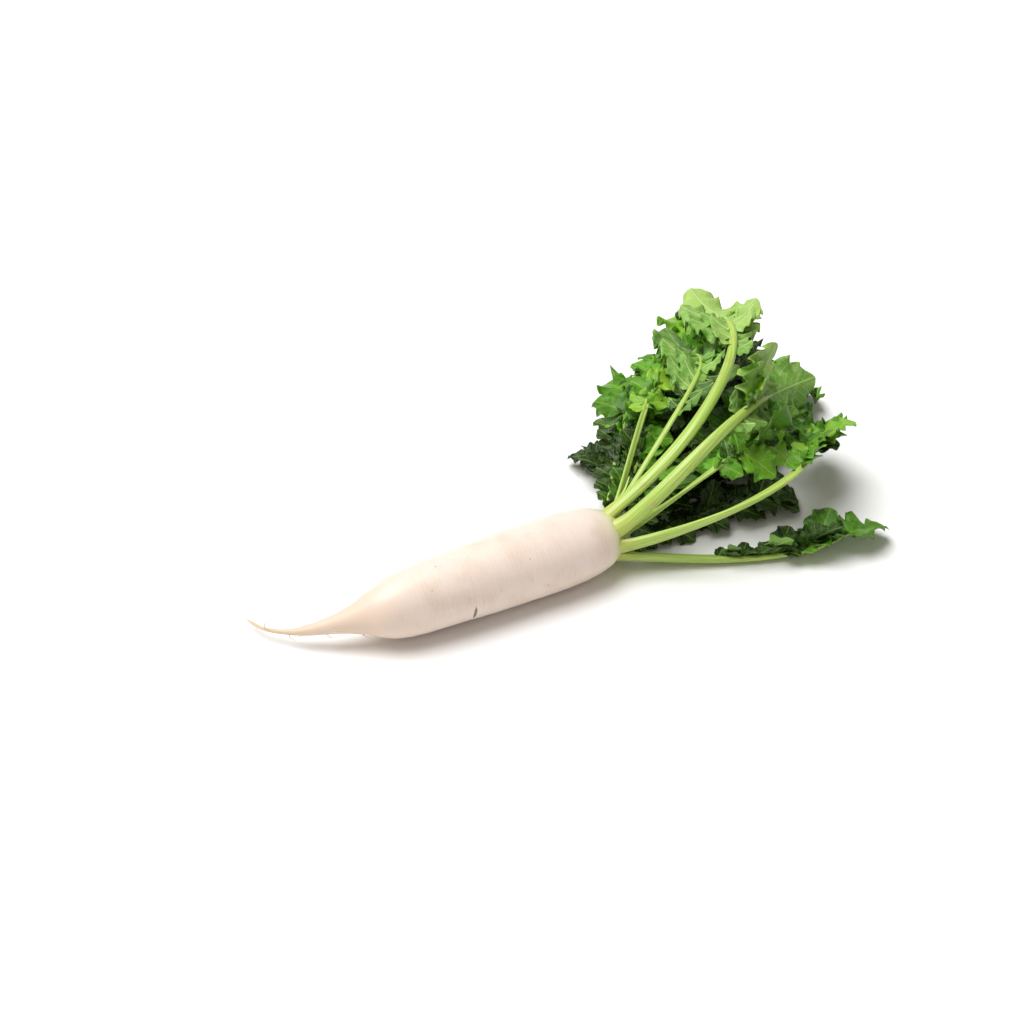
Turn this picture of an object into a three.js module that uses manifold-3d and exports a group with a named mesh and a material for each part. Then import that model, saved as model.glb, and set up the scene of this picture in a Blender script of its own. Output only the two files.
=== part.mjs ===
// A daikon radish, pulled whole, lying on its side with its leaves on.
// Millimetres, +Z up. +X runs along the root, from the thin tail to the leaves.
// The origin is the middle of the small flat spot that the heavy root rests on.

import * as THREE from "three";
import { mergeVertices } from "three/addons/utils/BufferGeometryUtils.js";
import Module from "manifold-3d";

const wasm = await Module();
wasm.setup();

// Driving dimensions of the root
const ROOT_SIDES = 32;
const ROOT_ROW_SPACING = 24;
const AXIS_HEIGHT = 36.6;
const SEAT_GAP = 0.3;
const SHORTEST_EDGE = 0.03;
const SAME_POINT = 1e-4;
const NECK_START = 86;
const NECK_END = 98;
const NECK_BLEND = 3;
const NECK_RIDGES = 9;
const NECK_RIDGE_HEIGHT = 0.9;

// The root's middle line and its thickness, from the crown to the end of the tail
const ROOT_STATIONS = [
  { x: 101.5, y: 0, z: AXIS_HEIGHT, radius: 0 },
  { x: 101.0, y: 0, z: AXIS_HEIGHT, radius: 8 },
  { x: 99.6, y: 0, z: AXIS_HEIGHT, radius: 14 },
  { x: 97.2, y: 0, z: AXIS_HEIGHT, radius: 18.6 },
  { x: 94.2, y: 0, z: AXIS_HEIGHT, radius: 21.4 },
  { x: 90.5, y: 0, z: AXIS_HEIGHT, radius: 24 },
  { x: 85.5, y: 0, z: AXIS_HEIGHT, radius: 27.4 },
  { x: 77.0, y: 0, z: AXIS_HEIGHT, radius: 31.4 },
  { x: 63.0, y: 0, z: AXIS_HEIGHT, radius: 35 },
  { x: 42.0, y: 0, z: AXIS_HEIGHT, radius: 37.1 },
  { x: 3.0, y: 0, z: AXIS_HEIGHT, radius: 37.8 },
  { x: -45.0, y: 0, z: AXIS_HEIGHT, radius: 37 },
  { x: -87.0, y: 0, z: AXIS_HEIGHT, radius: 35.2 },
  { x: -124.0, y: 0, z: 36.4, radius: 33.2 },
  { x: -151.0, y: 1, z: 35.0, radius: 28.6 },
  { x: -170.0, y: 5, z: 33.0, radius: 21.2 },
  { x: -183.0, y: 8, z: 31.0, radius: 15.2 },
  { x: -200.0, y: 14, z: 27.0, radius: 10 },
  { x: -226.0, y: 27, z: 19.0, radius: 5.2 },
  { x: -243.0, y: 40, z: 14.0, radius: 2.6 },
  { x: -258.0, y: 57, z: 10.5, radius: 1.7 },
  { x: -266.0, y: 76, z: 8.5, radius: 1.2 },
  { x: -267.0, y: 81, z: 8.2, radius: 0 },
];

// Driving dimensions of the leaf stalks, which stand on the crown in two rings
const SEAT_X = 86;
const OUTER_RING = 19.5;
const INNER_RING = 9.5;
const STALK_SIDES = 8;
const STALK_ROW_SPACING = 30;
const STALK_LEAD = 40;
const STALK_DEPTH = 0.8;
const UPPER_FACE_DEPTH = 0.45;
const SEAT_DEPTH = 0.66;
const SEAT_END = 0.1;
const TAPER = 0.42;
const END_TAPER = 0.33;
const FRAME_STEPS = 64;
const FACE_SHARE = 0.75;
const FACE_TURN_END = 0.7;

// Driving dimensions of the leaflets
const BLADE_THICKNESS = 1.8;
const LEAFLET_RINGS = 5;
const TOOTH = 0.1;
const OUTLINE_FRONT = 0.8;
const OUTLINE_FULLNESS = 0.55;
const LEAFLET_SPACING = 37;
const FEWEST_PAIRS = 3;
const LAST_PAIR_GAP = 8;
const SIDE_OFFSET = 0.4;
const FIRST_SIZE = 0.45;
const SIZE_GAIN = 0.75;
const SIZE_LOSS = 0.2;
const SIZE_SWING = 0.12;
const HALF_WIDTH_RATIO = 0.42;
const WIDTH_SWING = 0.1;
const FIRST_FORWARD = 66;
const FORWARD_CLOSING = 18;
const FORWARD_SWING = 7;
const TILT_SWING = 14;
const SHINGLE_ROLL = 14;
const ROLL_SWING = 7;
const FOLD = 0.3;
const DROOP = 0.3;
const WAVE = 0.3;
const WAVES = 1.5;
const WAVE_SKEW = 0.3;

// Driving dimensions of the end leaflet, which the midrib runs into
const TERMINAL_RATIO = 1.2;
const TERMINAL_HALF_WIDTH_RATIO = 0.45;
const TERMINAL_OVERHANG = 0.75;
const TERMINAL_ROOT = 4;
const TERMINAL_SWING = 4;
const TERMINAL_ROLL_SWING = 8;
const MIDRIB_END = 0.6;

// A leaflet that would cross another leaf is bent clear, or grows shorter
const CLEAR_TILTS = [0, 16, -16, 32, -32, 48, -48, 64];
const CLEAR_SCALES = [1, 0.75, 0.55];
const LEAFLET_CLEARANCE = 5.4;
const STALK_CLEARANCE = 3.6;
const SAMPLE_SPACING = 4;
const GROUND_CLEARANCE = 1.6;

// Each leaf: seat is its angle round the crown, from +Y towards +Z, and path holds the
// last three points that steer its arching stalk. face is the way that the upper side of
// its blade looks, rise the degrees that its leaflets stand up from flat, leaflet the length
// of a large one, and bare the share of the leaf's length that has no leaflets.
const LEAVES = [
  {
    name: "leaf_top_arch", seat: 76, ring: OUTER_RING, width: 16.5, splay: 16,
    path: [[260, -25, 180], [395, 210, 145], [305, 205, 100]],
    face: [0.2, 0.5, -0.8], rise: 20, leaflet: 58, bare: 0.7,
  },
  {
    name: "leaf_top_right", seat: 130, ring: OUTER_RING, width: 16.5, splay: 14,
    path: [[200, -50, 200], [290, 35, 120], [340, 50, 102]],
    face: [0.1, 0.9, -0.5], rise: 14, leaflet: 62, bare: 0.6,
  },
  {
    name: "leaf_right", seat: 182, ring: OUTER_RING, width: 15, splay: 10,
    path: [[210, -130, 130], [345, -32, 62], [370, 55, 62]],
    face: [-0.4, -0.1, 0.9], rise: 52, leaflet: 54, bare: 0.66,
  },
  {
    name: "leaf_low_right", seat: 234, ring: OUTER_RING, width: 18, splay: 9,
    path: [[230, -85, -5], [310, -105, 10], [350, -88, 30]],
    face: [-0.1, 0.3, 0.95], rise: 66, leaflet: 44, bare: 0.42,
  },
  {
    name: "leaf_right_slim", seat: 160, ring: INNER_RING, width: 9, splay: 8,
    path: [[230, -25, 140], [270, -10, 90], [330, 30, 80]],
    face: [-0.2, -0.7, 0.7], rise: 12, leaflet: 54, bare: 0.5,
  },
  {
    name: "leaf_inner_left", seat: 48, ring: INNER_RING, width: 8, splay: 14,
    path: [[210, 55, 175], [335, 125, 115], [260, 195, 90]],
    face: [0.2, 0.5, -0.8], rise: 16, leaflet: 54, bare: 0.48,
  },
  {
    name: "leaf_left_slim", seat: 358, ring: INNER_RING, width: 8.5, splay: 9,
    path: [[185, 120, 145], [280, 165, 80], [285, 240, 70]],
    face: [-0.2, -0.6, 0.8], rise: 12, leaflet: 56, bare: 0.52,
  },
  {
    name: "leaf_left", seat: 347, ring: OUTER_RING, width: 9, splay: 14,
    path: [[170, 140, 90], [235, 180, 55], [260, 230, 45]],
    face: [-0.4, -0.4, 0.9], rise: 12, leaflet: 50, bare: 0.3,
  },
  {
    name: "leaf_inner_right", seat: 210, ring: INNER_RING, width: 7.5, splay: 6,
    path: [[280, 95, 90], [385, 95, 40], [435, 160, 30]],
    face: [-0.1, -0.4, 0.9], rise: 12, leaflet: 58, bare: 0.16,
  },
  {
    name: "leaf_back_left", seat: 310, ring: INNER_RING, width: 7.5, splay: 8,
    path: [[225, 170, 125], [365, 235, 55], [395, 305, 45]],
    face: [-0.3, -0.3, 0.9], rise: 12, leaflet: 60, bare: 0.24,
  },
  {
    name: "leaf_back", seat: 260, ring: INNER_RING, width: 7.5, splay: 7,
    path: [[270, 170, 80], [410, 210, 20], [460, 265, 15]],
    face: [-0.1, -0.3, 1], rise: 12, leaflet: 58, bare: 0.16,
  },
  {
    name: "leaf_back_right", seat: 294, ring: OUTER_RING, width: 8, splay: 9,
    path: [[270, 90, 50], [375, 105, 5], [440, 125, 10]],
    face: [0, -0.2, 1], rise: 12, leaflet: 56, bare: 0.14,
  },
  {
    name: "leaf_low_left", seat: 320, ring: OUTER_RING, width: 8, splay: 12,
    path: [[140, 110, 50], [165, 145, 10], [170, 190, 10]],
    face: [0, -0.2, 1], rise: 12, leaflet: 38, bare: 0.4,
  },
  {
    name: "leaf_low_middle", seat: 266, ring: OUTER_RING, width: 8, splay: 7,
    path: [[230, 35, 10], [295, 5, 5], [355, 10, 10]],
    face: [0, -0.2, 1], rise: 12, leaflet: 50, bare: 0.18,
  },
];

// The stump of a leaf that has broken off, on the one free seat of the outer ring
const STUB = {
  name: "stalk_stub", seat: 36, ring: OUTER_RING, width: 8, splay: 12,
  path: [[126, 31, 60], [131, 35, 64], [136, 39, 68]],
};

// Steps that spread the small differences evenly over leaves, leaflets and uses
const LEAF_STEP = 0.7548776662;
const LEAFLET_STEP = 0.5698402909;
const USE_STEP = 0.3819660113;

const ROOT_COLOUR = 0xf4eadf;
const STALK_COLOUR = 0xa9c860;
const LEAF_COLOURS = [0x4f8f2a, 0x5f9a35, 0x447f26];
const ROOT_ROUGHNESS = 0.45;
const STALK_ROUGHNESS = 0.5;
const LEAF_ROUGHNESS = 0.55;

function smoothstep(value) {
  const x = Math.min(Math.max(value, 0), 1);
  return x * x * (3 - 2 * x);
}

// An even spread between 0 and 1, a different one for each leaf, leaflet and use
function vary(leaf, leaflet, use) {
  const sum = 0.5 + leaf * LEAF_STEP + leaflet * LEAFLET_STEP + use * USE_STEP;
  return sum - Math.floor(sum);
}

// The same spread, between -1 and 1
function swing(leaf, leaflet, use) {
  return 2 * vary(leaf, leaflet, use) - 1;
}

// A smooth curve through four neighbouring values, where share runs from b to c
function catmullRom(a, b, c, d, share) {
  const slope = (c - a) / 2;
  const nextSlope = (d - b) / 2;
  const cubic = 2 * (b - c) + slope + nextSlope;
  const square = 3 * (c - b) - 2 * slope - nextSlope;
  return ((cubic * share + square) * share + slope) * share + b;
}

// The root's rings: more of them where two stations lie far apart
function rootRings(stations) {
  const rings = [];
  for (let i = 0; i + 1 < stations.length; i += 1) {
    const near = [stations[Math.max(i - 1, 0)], stations[i], stations[i + 1]];
    near.push(stations[Math.min(i + 2, stations.length - 1)]);
    const reach = Math.hypot(near[2].x - near[1].x, near[2].y - near[1].y);
    const rows = Math.ceil(reach / ROOT_ROW_SPACING);
    for (let row = 0; row < rows; row += 1) {
      const ring = {};
      for (const key of ["x", "y", "z", "radius"]) {
        ring[key] = catmullRom(...near.map((station) => station[key]), row / rows);
      }
      rings.push(ring);
    }
  }
  rings.push(stations[stations.length - 1]);
  return rings;
}

// How far the neck's ridges stand out at x: they fade in and out at its ends
function neckShare(x) {
  return smoothstep((x - NECK_START) / NECK_BLEND) * smoothstep((NECK_END - x) / NECK_BLEND);
}

// The root as a lathe profile that is then bent along its middle line. grow makes it
// thicker all over, for the cut that seats the stalks a small gap off the crown.
function rootGeometry(grow) {
  const stations = ROOT_STATIONS.map((station) => ({
    ...station,
    x: station.x + (station.x > NECK_START ? grow : 0),
    radius: station.radius > 0 ? station.radius + grow : 0,
  }));
  const rings = rootRings(stations);
  const profile = rings.map((ring, index) => new THREE.Vector2(ring.radius, index));
  const geometry = new THREE.LatheGeometry(profile, ROOT_SIDES);
  const position = geometry.getAttribute("position");
  for (let i = 0; i < position.count; i += 1) {
    const index = Math.round(position.getY(i));
    const ring = rings[index];
    const before = rings[Math.max(index - 1, 0)];
    const after = rings[Math.min(index + 1, rings.length - 1)];
    const tangent = new THREE.Vector3(after.x - before.x, after.y - before.y, after.z - before.z);
    tangent.normalize();
    const side = new THREE.Vector3(0, 0, 1).cross(tangent).normalize();
    const up = new THREE.Vector3().crossVectors(tangent, side);
    const angle = Math.atan2(position.getX(i), position.getZ(i));
    const ridged = neckShare(ring.x);
    const ridge = NECK_RIDGE_HEIGHT * ridged * Math.cos(NECK_RIDGES * angle);
    const radius = ring.radius + ridge;
    const point = new THREE.Vector3(ring.x, ring.y, ring.z);
    point.addScaledVector(side, radius * Math.cos(angle));
    point.addScaledVector(up, radius * Math.sin(angle));
    position.setXYZ(i, point.x, point.y, Math.max(point.z, 0));
  }
  return geometry;
}

// A closed mesh, with its shared points merged, as a solid that can be joined and cut
function solidFrom(geometry) {
  const bare = new THREE.BufferGeometry();
  bare.setAttribute("position", geometry.getAttribute("position"));
  bare.setIndex(geometry.getIndex());
  const merged = mergeVertices(bare, SAME_POINT);
  const vertProperties = new Float32Array(merged.getAttribute("position").array);
  const corners = merged.getIndex().array;
  const kept = [];
  for (let i = 0; i < corners.length; i += 3) {
    const [a, b, c] = [corners[i], corners[i + 1], corners[i + 2]];
    if (a !== b && b !== c && c !== a) {
      kept.push(a, b, c);
    }
  }
  const triVerts = new Uint32Array(kept);
  const solid = new wasm.Manifold(new wasm.Mesh({ numProp: 3, vertProperties, triVerts }));
  return solid.volume() > 0 ? solid : solidFrom(turnedInsideOut(merged, kept));
}

// The same mesh with its faces turned round
function turnedInsideOut(geometry, corners) {
  const turned = new THREE.BufferGeometry();
  turned.setAttribute("position", geometry.getAttribute("position"));
  const index = [];
  for (let i = 0; i < corners.length; i += 3) {
    index.push(corners[i], corners[i + 2], corners[i + 1]);
  }
  turned.setIndex(index);
  return turned;
}

// The largest body of a solid, without the scraps that a cut has left
function largestBody(solid) {
  const bodies = solid.decompose();
  bodies.sort((one, other) => other.volume() - one.volume());
  return bodies[0];
}

// A solid's mesh, where points closer than the shortest edge have become one
function geometryFrom(solid) {
  const mesh = solid.getMesh();
  const corners = [...mesh.triVerts];
  const points = [];
  for (let i = 0; i < mesh.vertProperties.length; i += 3) {
    points.push(new THREE.Vector3(...mesh.vertProperties.slice(i, i + 3)));
  }
  const target = points.map((point, index) => index);
  const resolve = (index) => (target[index] === index ? index : resolve(target[index]));
  for (let i = 0; i < corners.length; i += 1) {
    const from = resolve(corners[i]);
    const to = resolve(corners[i % 3 === 2 ? i - 2 : i + 1]);
    if (from !== to && points[from].distanceTo(points[to]) < SHORTEST_EDGE) {
      target[Math.max(from, to)] = Math.min(from, to);
    }
  }
  const kept = [];
  for (let i = 0; i < corners.length; i += 3) {
    const triangle = [resolve(corners[i]), resolve(corners[i + 1]), resolve(corners[i + 2])];
    if (new Set(triangle).size === 3) {
      kept.push(...triangle);
    }
  }
  const geometry = new THREE.BufferGeometry().setFromPoints(points);
  geometry.setIndex(kept);
  geometry.computeVertexNormals();
  return geometry;
}

// The point and direction at a share of a Bezier curve with any number of points
function bezier(points, share) {
  let level = points.map((point) => point.clone());
  while (level.length > 2) {
    const next = [];
    for (let i = 0; i + 1 < level.length; i += 1) {
      next.push(level[i].clone().lerp(level[i + 1], share));
    }
    level = next;
  }
  const tangent = level[1].clone().sub(level[0]).normalize();
  return { point: level[0].clone().lerp(level[1], share), tangent };
}

// The direction from the crown's middle to a seat at an angle round it
function seatDirection(angle) {
  const radians = THREE.MathUtils.degToRad(angle);
  return new THREE.Vector3(0, Math.cos(radians), Math.sin(radians));
}

// A stalk's line from its seat, with frames that turn with it. upper is the way that its
// upper face looks: to the crown's middle at the seat, and to face along the blade.
function stalkLine(leaf) {
  const out = seatDirection(leaf.seat);
  const seat = new THREE.Vector3(SEAT_X, 0, AXIS_HEIGHT).addScaledVector(out, leaf.ring);
  const lead = seat.clone().addScaledVector(out, leaf.splay);
  lead.x += STALK_LEAD;
  const controls = [seat, lead, ...leaf.path.map((point) => new THREE.Vector3(...point))];
  const frames = [];
  let upper = out.clone().negate();
  let length = 0;
  for (let i = 0; i <= FRAME_STEPS; i += 1) {
    const { point, tangent } = bezier(controls, i / FRAME_STEPS);
    upper = upper.clone().addScaledVector(tangent, -upper.dot(tangent)).normalize();
    if (i > 0) {
      length += point.distanceTo(frames[i - 1].point);
    }
    frames.push({ point, tangent, upper, length });
  }
  turnToFace(frames, leaf.face);
  return { frames, length };
}

// Turns the frames about the stalk, step by step, until the blade looks the right way
function turnToFace(frames, face) {
  if (!face) {
    return;
  }
  const middle = frames[Math.round(FRAME_STEPS * FACE_SHARE)];
  const wanted = new THREE.Vector3(...face);
  wanted.addScaledVector(middle.tangent, -wanted.dot(middle.tangent)).normalize();
  const turned = new THREE.Vector3().crossVectors(middle.upper, wanted);
  const angle = Math.atan2(turned.dot(middle.tangent), middle.upper.dot(wanted));
  frames.forEach((frame, index) => {
    const part = smoothstep(index / (FRAME_STEPS * FACE_TURN_END));
    frame.upper = frame.upper.clone().applyAxisAngle(frame.tangent, angle * part);
  });
}

// The frame at a distance along the stalk
function frameAt(line, distance) {
  const { frames } = line;
  let index = 1;
  while (index < FRAME_STEPS && frames[index].length < distance) {
    index += 1;
  }
  const [from, to] = [frames[index - 1], frames[index]];
  const share = (distance - from.length) / (to.length - from.length);
  const tangent = from.tangent.clone().lerp(to.tangent, share).normalize();
  const upper = from.upper.clone().lerp(to.upper, share);
  upper.addScaledVector(tangent, -upper.dot(tangent)).normalize();
  const point = from.point.clone().lerp(to.point, share);
  return { point, tangent, upper, side: new THREE.Vector3().crossVectors(tangent, upper) };
}

// How wide the stalk is at a share of its length
function stalkWidth(leaf, share) {
  return leaf.width * (1 - TAPER * share - END_TAPER * share * share);
}

// The stalk and midrib: a tapering tube, flattened on its upper face
function stalkGeometry(leaf, line, reach) {
  const rows = Math.ceil(reach / STALK_ROW_SPACING);
  const geometry = new THREE.CylinderGeometry(1, 1, 1, STALK_SIDES, rows);
  const position = geometry.getAttribute("position");
  for (let i = 0; i < position.count; i += 1) {
    const share = position.getY(i) + 0.5;
    const frame = frameAt(line, share * reach);
    const width = stalkWidth(leaf, (share * reach) / line.length);
    const seated = smoothstep(share / SEAT_END);
    const depth = width * (SEAT_DEPTH + (STALK_DEPTH - SEAT_DEPTH) * seated);
    const across = position.getX(i);
    const height = position.getZ(i) > 0 ? position.getZ(i) * UPPER_FACE_DEPTH : position.getZ(i);
    frame.point.addScaledVector(frame.side, (across * width) / 2);
    frame.point.addScaledVector(frame.upper, (height * depth) / 2);
    position.setXYZ(i, frame.point.x, frame.point.y, frame.point.z);
  }
  return geometry;
}

// How wide a leaflet is at a share of its length, as a part of its greatest half width
function leafletOutline(share) {
  return Math.sin(Math.PI * share ** OUTLINE_FRONT) ** OUTLINE_FULLNESS;
}

// The leaflets of a leaf: pairs that grow larger towards the end, and the end leaflet
function leafletsOf(leaf, leafIndex, line) {
  const terminal = leaf.leaflet * TERMINAL_RATIO;
  const reach = line.length - terminal * TERMINAL_OVERHANG;
  const start = leaf.bare * line.length;
  const pairs = Math.max(Math.round((reach - start) / LEAFLET_SPACING), FEWEST_PAIRS);
  const leaflets = [];
  leaflets.push({
    distance: reach - TERMINAL_ROOT,
    side: 1,
    forward: TERMINAL_SWING * swing(leafIndex, 0, 1),
    tilt: 0,
    length: terminal,
    halfWidth: terminal * TERMINAL_HALF_WIDTH_RATIO,
    roll: TERMINAL_ROLL_SWING * swing(leafIndex, 0, 2),
    phase: vary(leafIndex, 0, 3),
  });
  for (let pair = pairs - 1; pair >= 0; pair -= 1) {
    for (const side of [1, -1]) {
      const number = 2 * pair + (side > 0 ? 1 : 2);
      const order = pair / (pairs - 1);
      const step = (reach - start - LAST_PAIR_GAP) / pairs;
      const offset = side > 0 ? 0 : SIDE_OFFSET;
      const growth = FIRST_SIZE + SIZE_GAIN * order - SIZE_LOSS * order * order;
      const length = leaf.leaflet * growth * (1 + SIZE_SWING * swing(leafIndex, number, 1));
      leaflets.push({
        distance: start + step * (pair + offset),
        side,
        forward: FIRST_FORWARD - FORWARD_CLOSING * order + FORWARD_SWING * swing(leafIndex, number, 2),
        tilt: leaf.rise + TILT_SWING * swing(leafIndex, number, 3),
        length,
        halfWidth: length * HALF_WIDTH_RATIO * (1 + WIDTH_SWING * swing(leafIndex, number, 4)),
        roll: side * SHINGLE_ROLL + ROLL_SWING * swing(leafIndex, number, 5),
        phase: vary(leafIndex, number, 6),
      });
    }
  }
  return leaflets;
}

// The axes that a leaflet lies along: out to its tip, across it and up from its face
function leafletAxes(leaflet, line, extraTilt) {
  const frame = frameAt(line, leaflet.distance);
  const tilt = THREE.MathUtils.degToRad(leaflet.tilt + extraTilt) * leaflet.side;
  const upper = frame.upper.clone().applyAxisAngle(frame.tangent, -tilt);
  const side = frame.side.clone().applyAxisAngle(frame.tangent, -tilt);
  const forward = THREE.MathUtils.degToRad(leaflet.forward) * leaflet.side;
  const out = frame.tangent.clone().applyAxisAngle(upper, -forward);
  const across = side.applyAxisAngle(upper, -forward);
  const roll = THREE.MathUtils.degToRad(leaflet.roll);
  across.applyAxisAngle(out, roll);
  upper.applyAxisAngle(out, roll);
  return { point: frame.point, out, across, upper };
}

// A point of a leaflet: share runs out along it, across from -1 to 1, and lift is the
// height above its middle sheet. It is folded along its vein, waved, and hangs down.
function leafletPoint(leaflet, axes, share, across, lift, halfWidth) {
  const edge = Math.abs(across) * halfWidth;
  const wave = Math.sin(2 * Math.PI * (WAVES * share + leaflet.phase + WAVE_SKEW * across));
  const height = edge * (FOLD + WAVE * wave) - DROOP * leaflet.length * share * share + lift;
  const point = axes.point.clone();
  point.addScaledVector(axes.out, leaflet.length * share);
  point.addScaledVector(axes.across, across * halfWidth);
  point.addScaledVector(axes.upper, height);
  return point;
}

// A leaflet's points on a close grid, for the test of what it would cross
function leafletSamples(leaflet, axes) {
  const rows = Math.ceil(leaflet.length / SAMPLE_SPACING);
  const columns = Math.ceil((2 * leaflet.halfWidth) / SAMPLE_SPACING);
  const samples = [];
  for (let row = 1; row <= rows; row += 1) {
    const share = (row - 0.5) / rows;
    const halfWidth = leaflet.halfWidth * leafletOutline(share);
    for (let column = 0; column <= columns; column += 1) {
      const across = (2 * column) / columns - 1;
      samples.push(leafletPoint(leaflet, axes, share, across, 0, halfWidth));
    }
  }
  return samples;
}

// The stalk's points, for the same test
function stalkSamples(line, reach) {
  const samples = [];
  const steps = Math.ceil(reach / SAMPLE_SPACING);
  for (let step = 0; step <= steps; step += 1) {
    samples.push(frameAt(line, (reach * step) / steps).point);
  }
  return samples;
}

// What is placed already: its points, the sphere round them and the room that it keeps
function placedPiece(leafIndex, samples, room) {
  const sphere = new THREE.Sphere().setFromPoints(samples);
  return { leafIndex, samples, room, sphere };
}

// Whether a leaflet stays above the ground and clear of every other leaf
function isClear(leafIndex, samples, placed) {
  if (samples.some((point) => point.z < GROUND_CLEARANCE)) {
    return false;
  }
  const sphere = new THREE.Sphere().setFromPoints(samples);
  return placed.every((piece) => {
    const reach = sphere.radius + piece.sphere.radius + piece.room;
    if (piece.leafIndex === leafIndex || sphere.center.distanceTo(piece.sphere.center) > reach) {
      return true;
    }
    const limit = piece.room * piece.room;
    return samples.every((point) => (
      piece.samples.every((other) => point.distanceToSquared(other) > limit)
    ));
  });
}

// Bends a leaflet clear of what is placed, and shortens it where bending isn't enough.
// Returns nothing where there is no room for it at all.
function fitLeaflet(leaflet, leafIndex, line, placed) {
  for (const scale of CLEAR_SCALES) {
    for (const extraTilt of CLEAR_TILTS) {
      const fitted = {
        ...leaflet,
        length: leaflet.length * scale,
        halfWidth: leaflet.halfWidth * scale,
      };
      const axes = leafletAxes(fitted, line, extraTilt);
      const samples = leafletSamples(fitted, axes);
      if (isClear(leafIndex, samples, placed)) {
        placed.push(placedPiece(leafIndex, samples, LEAFLET_CLEARANCE));
        return { leaflet: fitted, axes };
      }
    }
  }
  return null;
}

// A leaflet as a thin lens-shaped blade with a cut edge. Both faces are split alike, from
// the vein to the next tooth, so that they never cross where the blade is waved.
function leafletGeometry(leaflet, axes) {
  const points = [leafletPoint(leaflet, axes, 0, 0, 0, 0)];
  const corners = [];
  for (let ring = 1; ring <= LEAFLET_RINGS; ring += 1) {
    const share = ring / (LEAFLET_RINGS + 1);
    const halfWidth = leaflet.halfWidth * leafletOutline(share);
    const tooth = TOOTH * (ring % 2 === 0 ? 1 : -1);
    const half = BLADE_THICKNESS / 2;
    points.push(leafletPoint(leaflet, axes, share, 1, 0, halfWidth * (1 + tooth)));
    points.push(leafletPoint(leaflet, axes, share, 0, half, halfWidth));
    points.push(leafletPoint(leaflet, axes, share, -1, 0, halfWidth * (1 - tooth)));
    points.push(leafletPoint(leaflet, axes, share, 0, -half, halfWidth));
  }
  points.push(leafletPoint(leaflet, axes, 1, 0, 0, 0));
  const tip = points.length - 1;
  for (let side = 0; side < 4; side += 1) {
    const next = (side + 1) % 4;
    corners.push(0, 1 + next, 1 + side);
    corners.push(tip, tip - 4 + side, tip - 4 + next);
    for (let ring = 0; ring + 1 < LEAFLET_RINGS; ring += 1) {
      const low = 1 + 4 * ring;
      const high = low + 4;
      if (side % 2 === 0) {
        corners.push(low + side, low + next, high + side);
        corners.push(low + next, high + next, high + side);
      } else {
        corners.push(low + side, low + next, high + next);
        corners.push(low + side, high + next, high + side);
      }
    }
  }
  const geometry = new THREE.BufferGeometry().setFromPoints(points);
  geometry.setIndex(corners);
  return geometry;
}

// Makes all the leaves: first every stalk takes its room, then leaf by leaf the leaflets
function leafSolids(seatCut) {
  const lines = LEAVES.map(stalkLine);
  const reaches = LEAVES.map((leaf, i) => (
    lines[i].length - leaf.leaflet * TERMINAL_RATIO * MIDRIB_END
  ));
  const placed = LEAVES.map((leaf, i) => (
    placedPiece(i, stalkSamples(lines[i], reaches[i]), STALK_CLEARANCE + leaf.width / 2)
  ));
  return LEAVES.map((leaf, i) => {
    let solid = solidFrom(stalkGeometry(leaf, lines[i], reaches[i]));
    for (const leaflet of leafletsOf(leaf, i, lines[i])) {
      const fitted = fitLeaflet(leaflet, i, lines[i], placed);
      if (fitted) {
        solid = solid.add(solidFrom(leafletGeometry(fitted.leaflet, fitted.axes)));
      }
    }
    return largestBody(solid.subtract(seatCut));
  });
}

function stubSolid(seatCut) {
  const line = stalkLine(STUB);
  return largestBody(solidFrom(stalkGeometry(STUB, line, line.length)).subtract(seatCut));
}

function addMesh(group, name, geometry, colour, roughness) {
  const material = new THREE.MeshStandardMaterial({ color: colour, roughness, metalness: 0 });
  const mesh = new THREE.Mesh(geometry, material);
  mesh.name = name;
  group.add(mesh);
}

const group = new THREE.Group();
const seatCut = solidFrom(rootGeometry(SEAT_GAP));
addMesh(group, "taproot", geometryFrom(solidFrom(rootGeometry(0))), ROOT_COLOUR, ROOT_ROUGHNESS);
leafSolids(seatCut).forEach((solid, index) => {
  const colour = LEAF_COLOURS[index % LEAF_COLOURS.length];
  addMesh(group, LEAVES[index].name, geometryFrom(solid), colour, LEAF_ROUGHNESS);
});
addMesh(group, STUB.name, geometryFrom(stubSolid(seatCut)), STALK_COLOUR, STALK_ROUGHNESS);

export default group;
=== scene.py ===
"""A daikon radish, pulled whole, lying on its side with its leaves on.

Lengths are worked out in millimetres and turned to metres when a mesh is made. +X runs along
the root, from the thin tail to the leaves, and +Z is up. The origin is the middle of the small
flat spot that the heavy root rests on.
"""

import logging
import math
from collections.abc import Iterable, Sequence
from dataclasses import dataclass, field
from enum import Enum

import bpy
import numpy as np
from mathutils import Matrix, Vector


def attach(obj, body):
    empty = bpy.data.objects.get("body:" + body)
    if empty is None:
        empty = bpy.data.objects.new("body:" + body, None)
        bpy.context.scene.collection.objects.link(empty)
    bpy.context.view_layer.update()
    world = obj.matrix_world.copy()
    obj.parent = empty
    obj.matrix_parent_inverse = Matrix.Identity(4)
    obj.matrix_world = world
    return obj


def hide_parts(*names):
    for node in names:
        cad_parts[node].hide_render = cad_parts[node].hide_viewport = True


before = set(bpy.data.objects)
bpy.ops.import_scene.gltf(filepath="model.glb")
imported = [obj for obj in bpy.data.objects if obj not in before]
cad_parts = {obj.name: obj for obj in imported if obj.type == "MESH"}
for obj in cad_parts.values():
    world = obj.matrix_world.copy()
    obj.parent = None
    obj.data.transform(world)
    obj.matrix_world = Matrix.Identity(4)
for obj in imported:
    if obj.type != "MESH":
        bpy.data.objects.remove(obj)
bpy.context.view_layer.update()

LOG = logging.getLogger("daikon")
MM = 0.001
BODY = "root"

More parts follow.
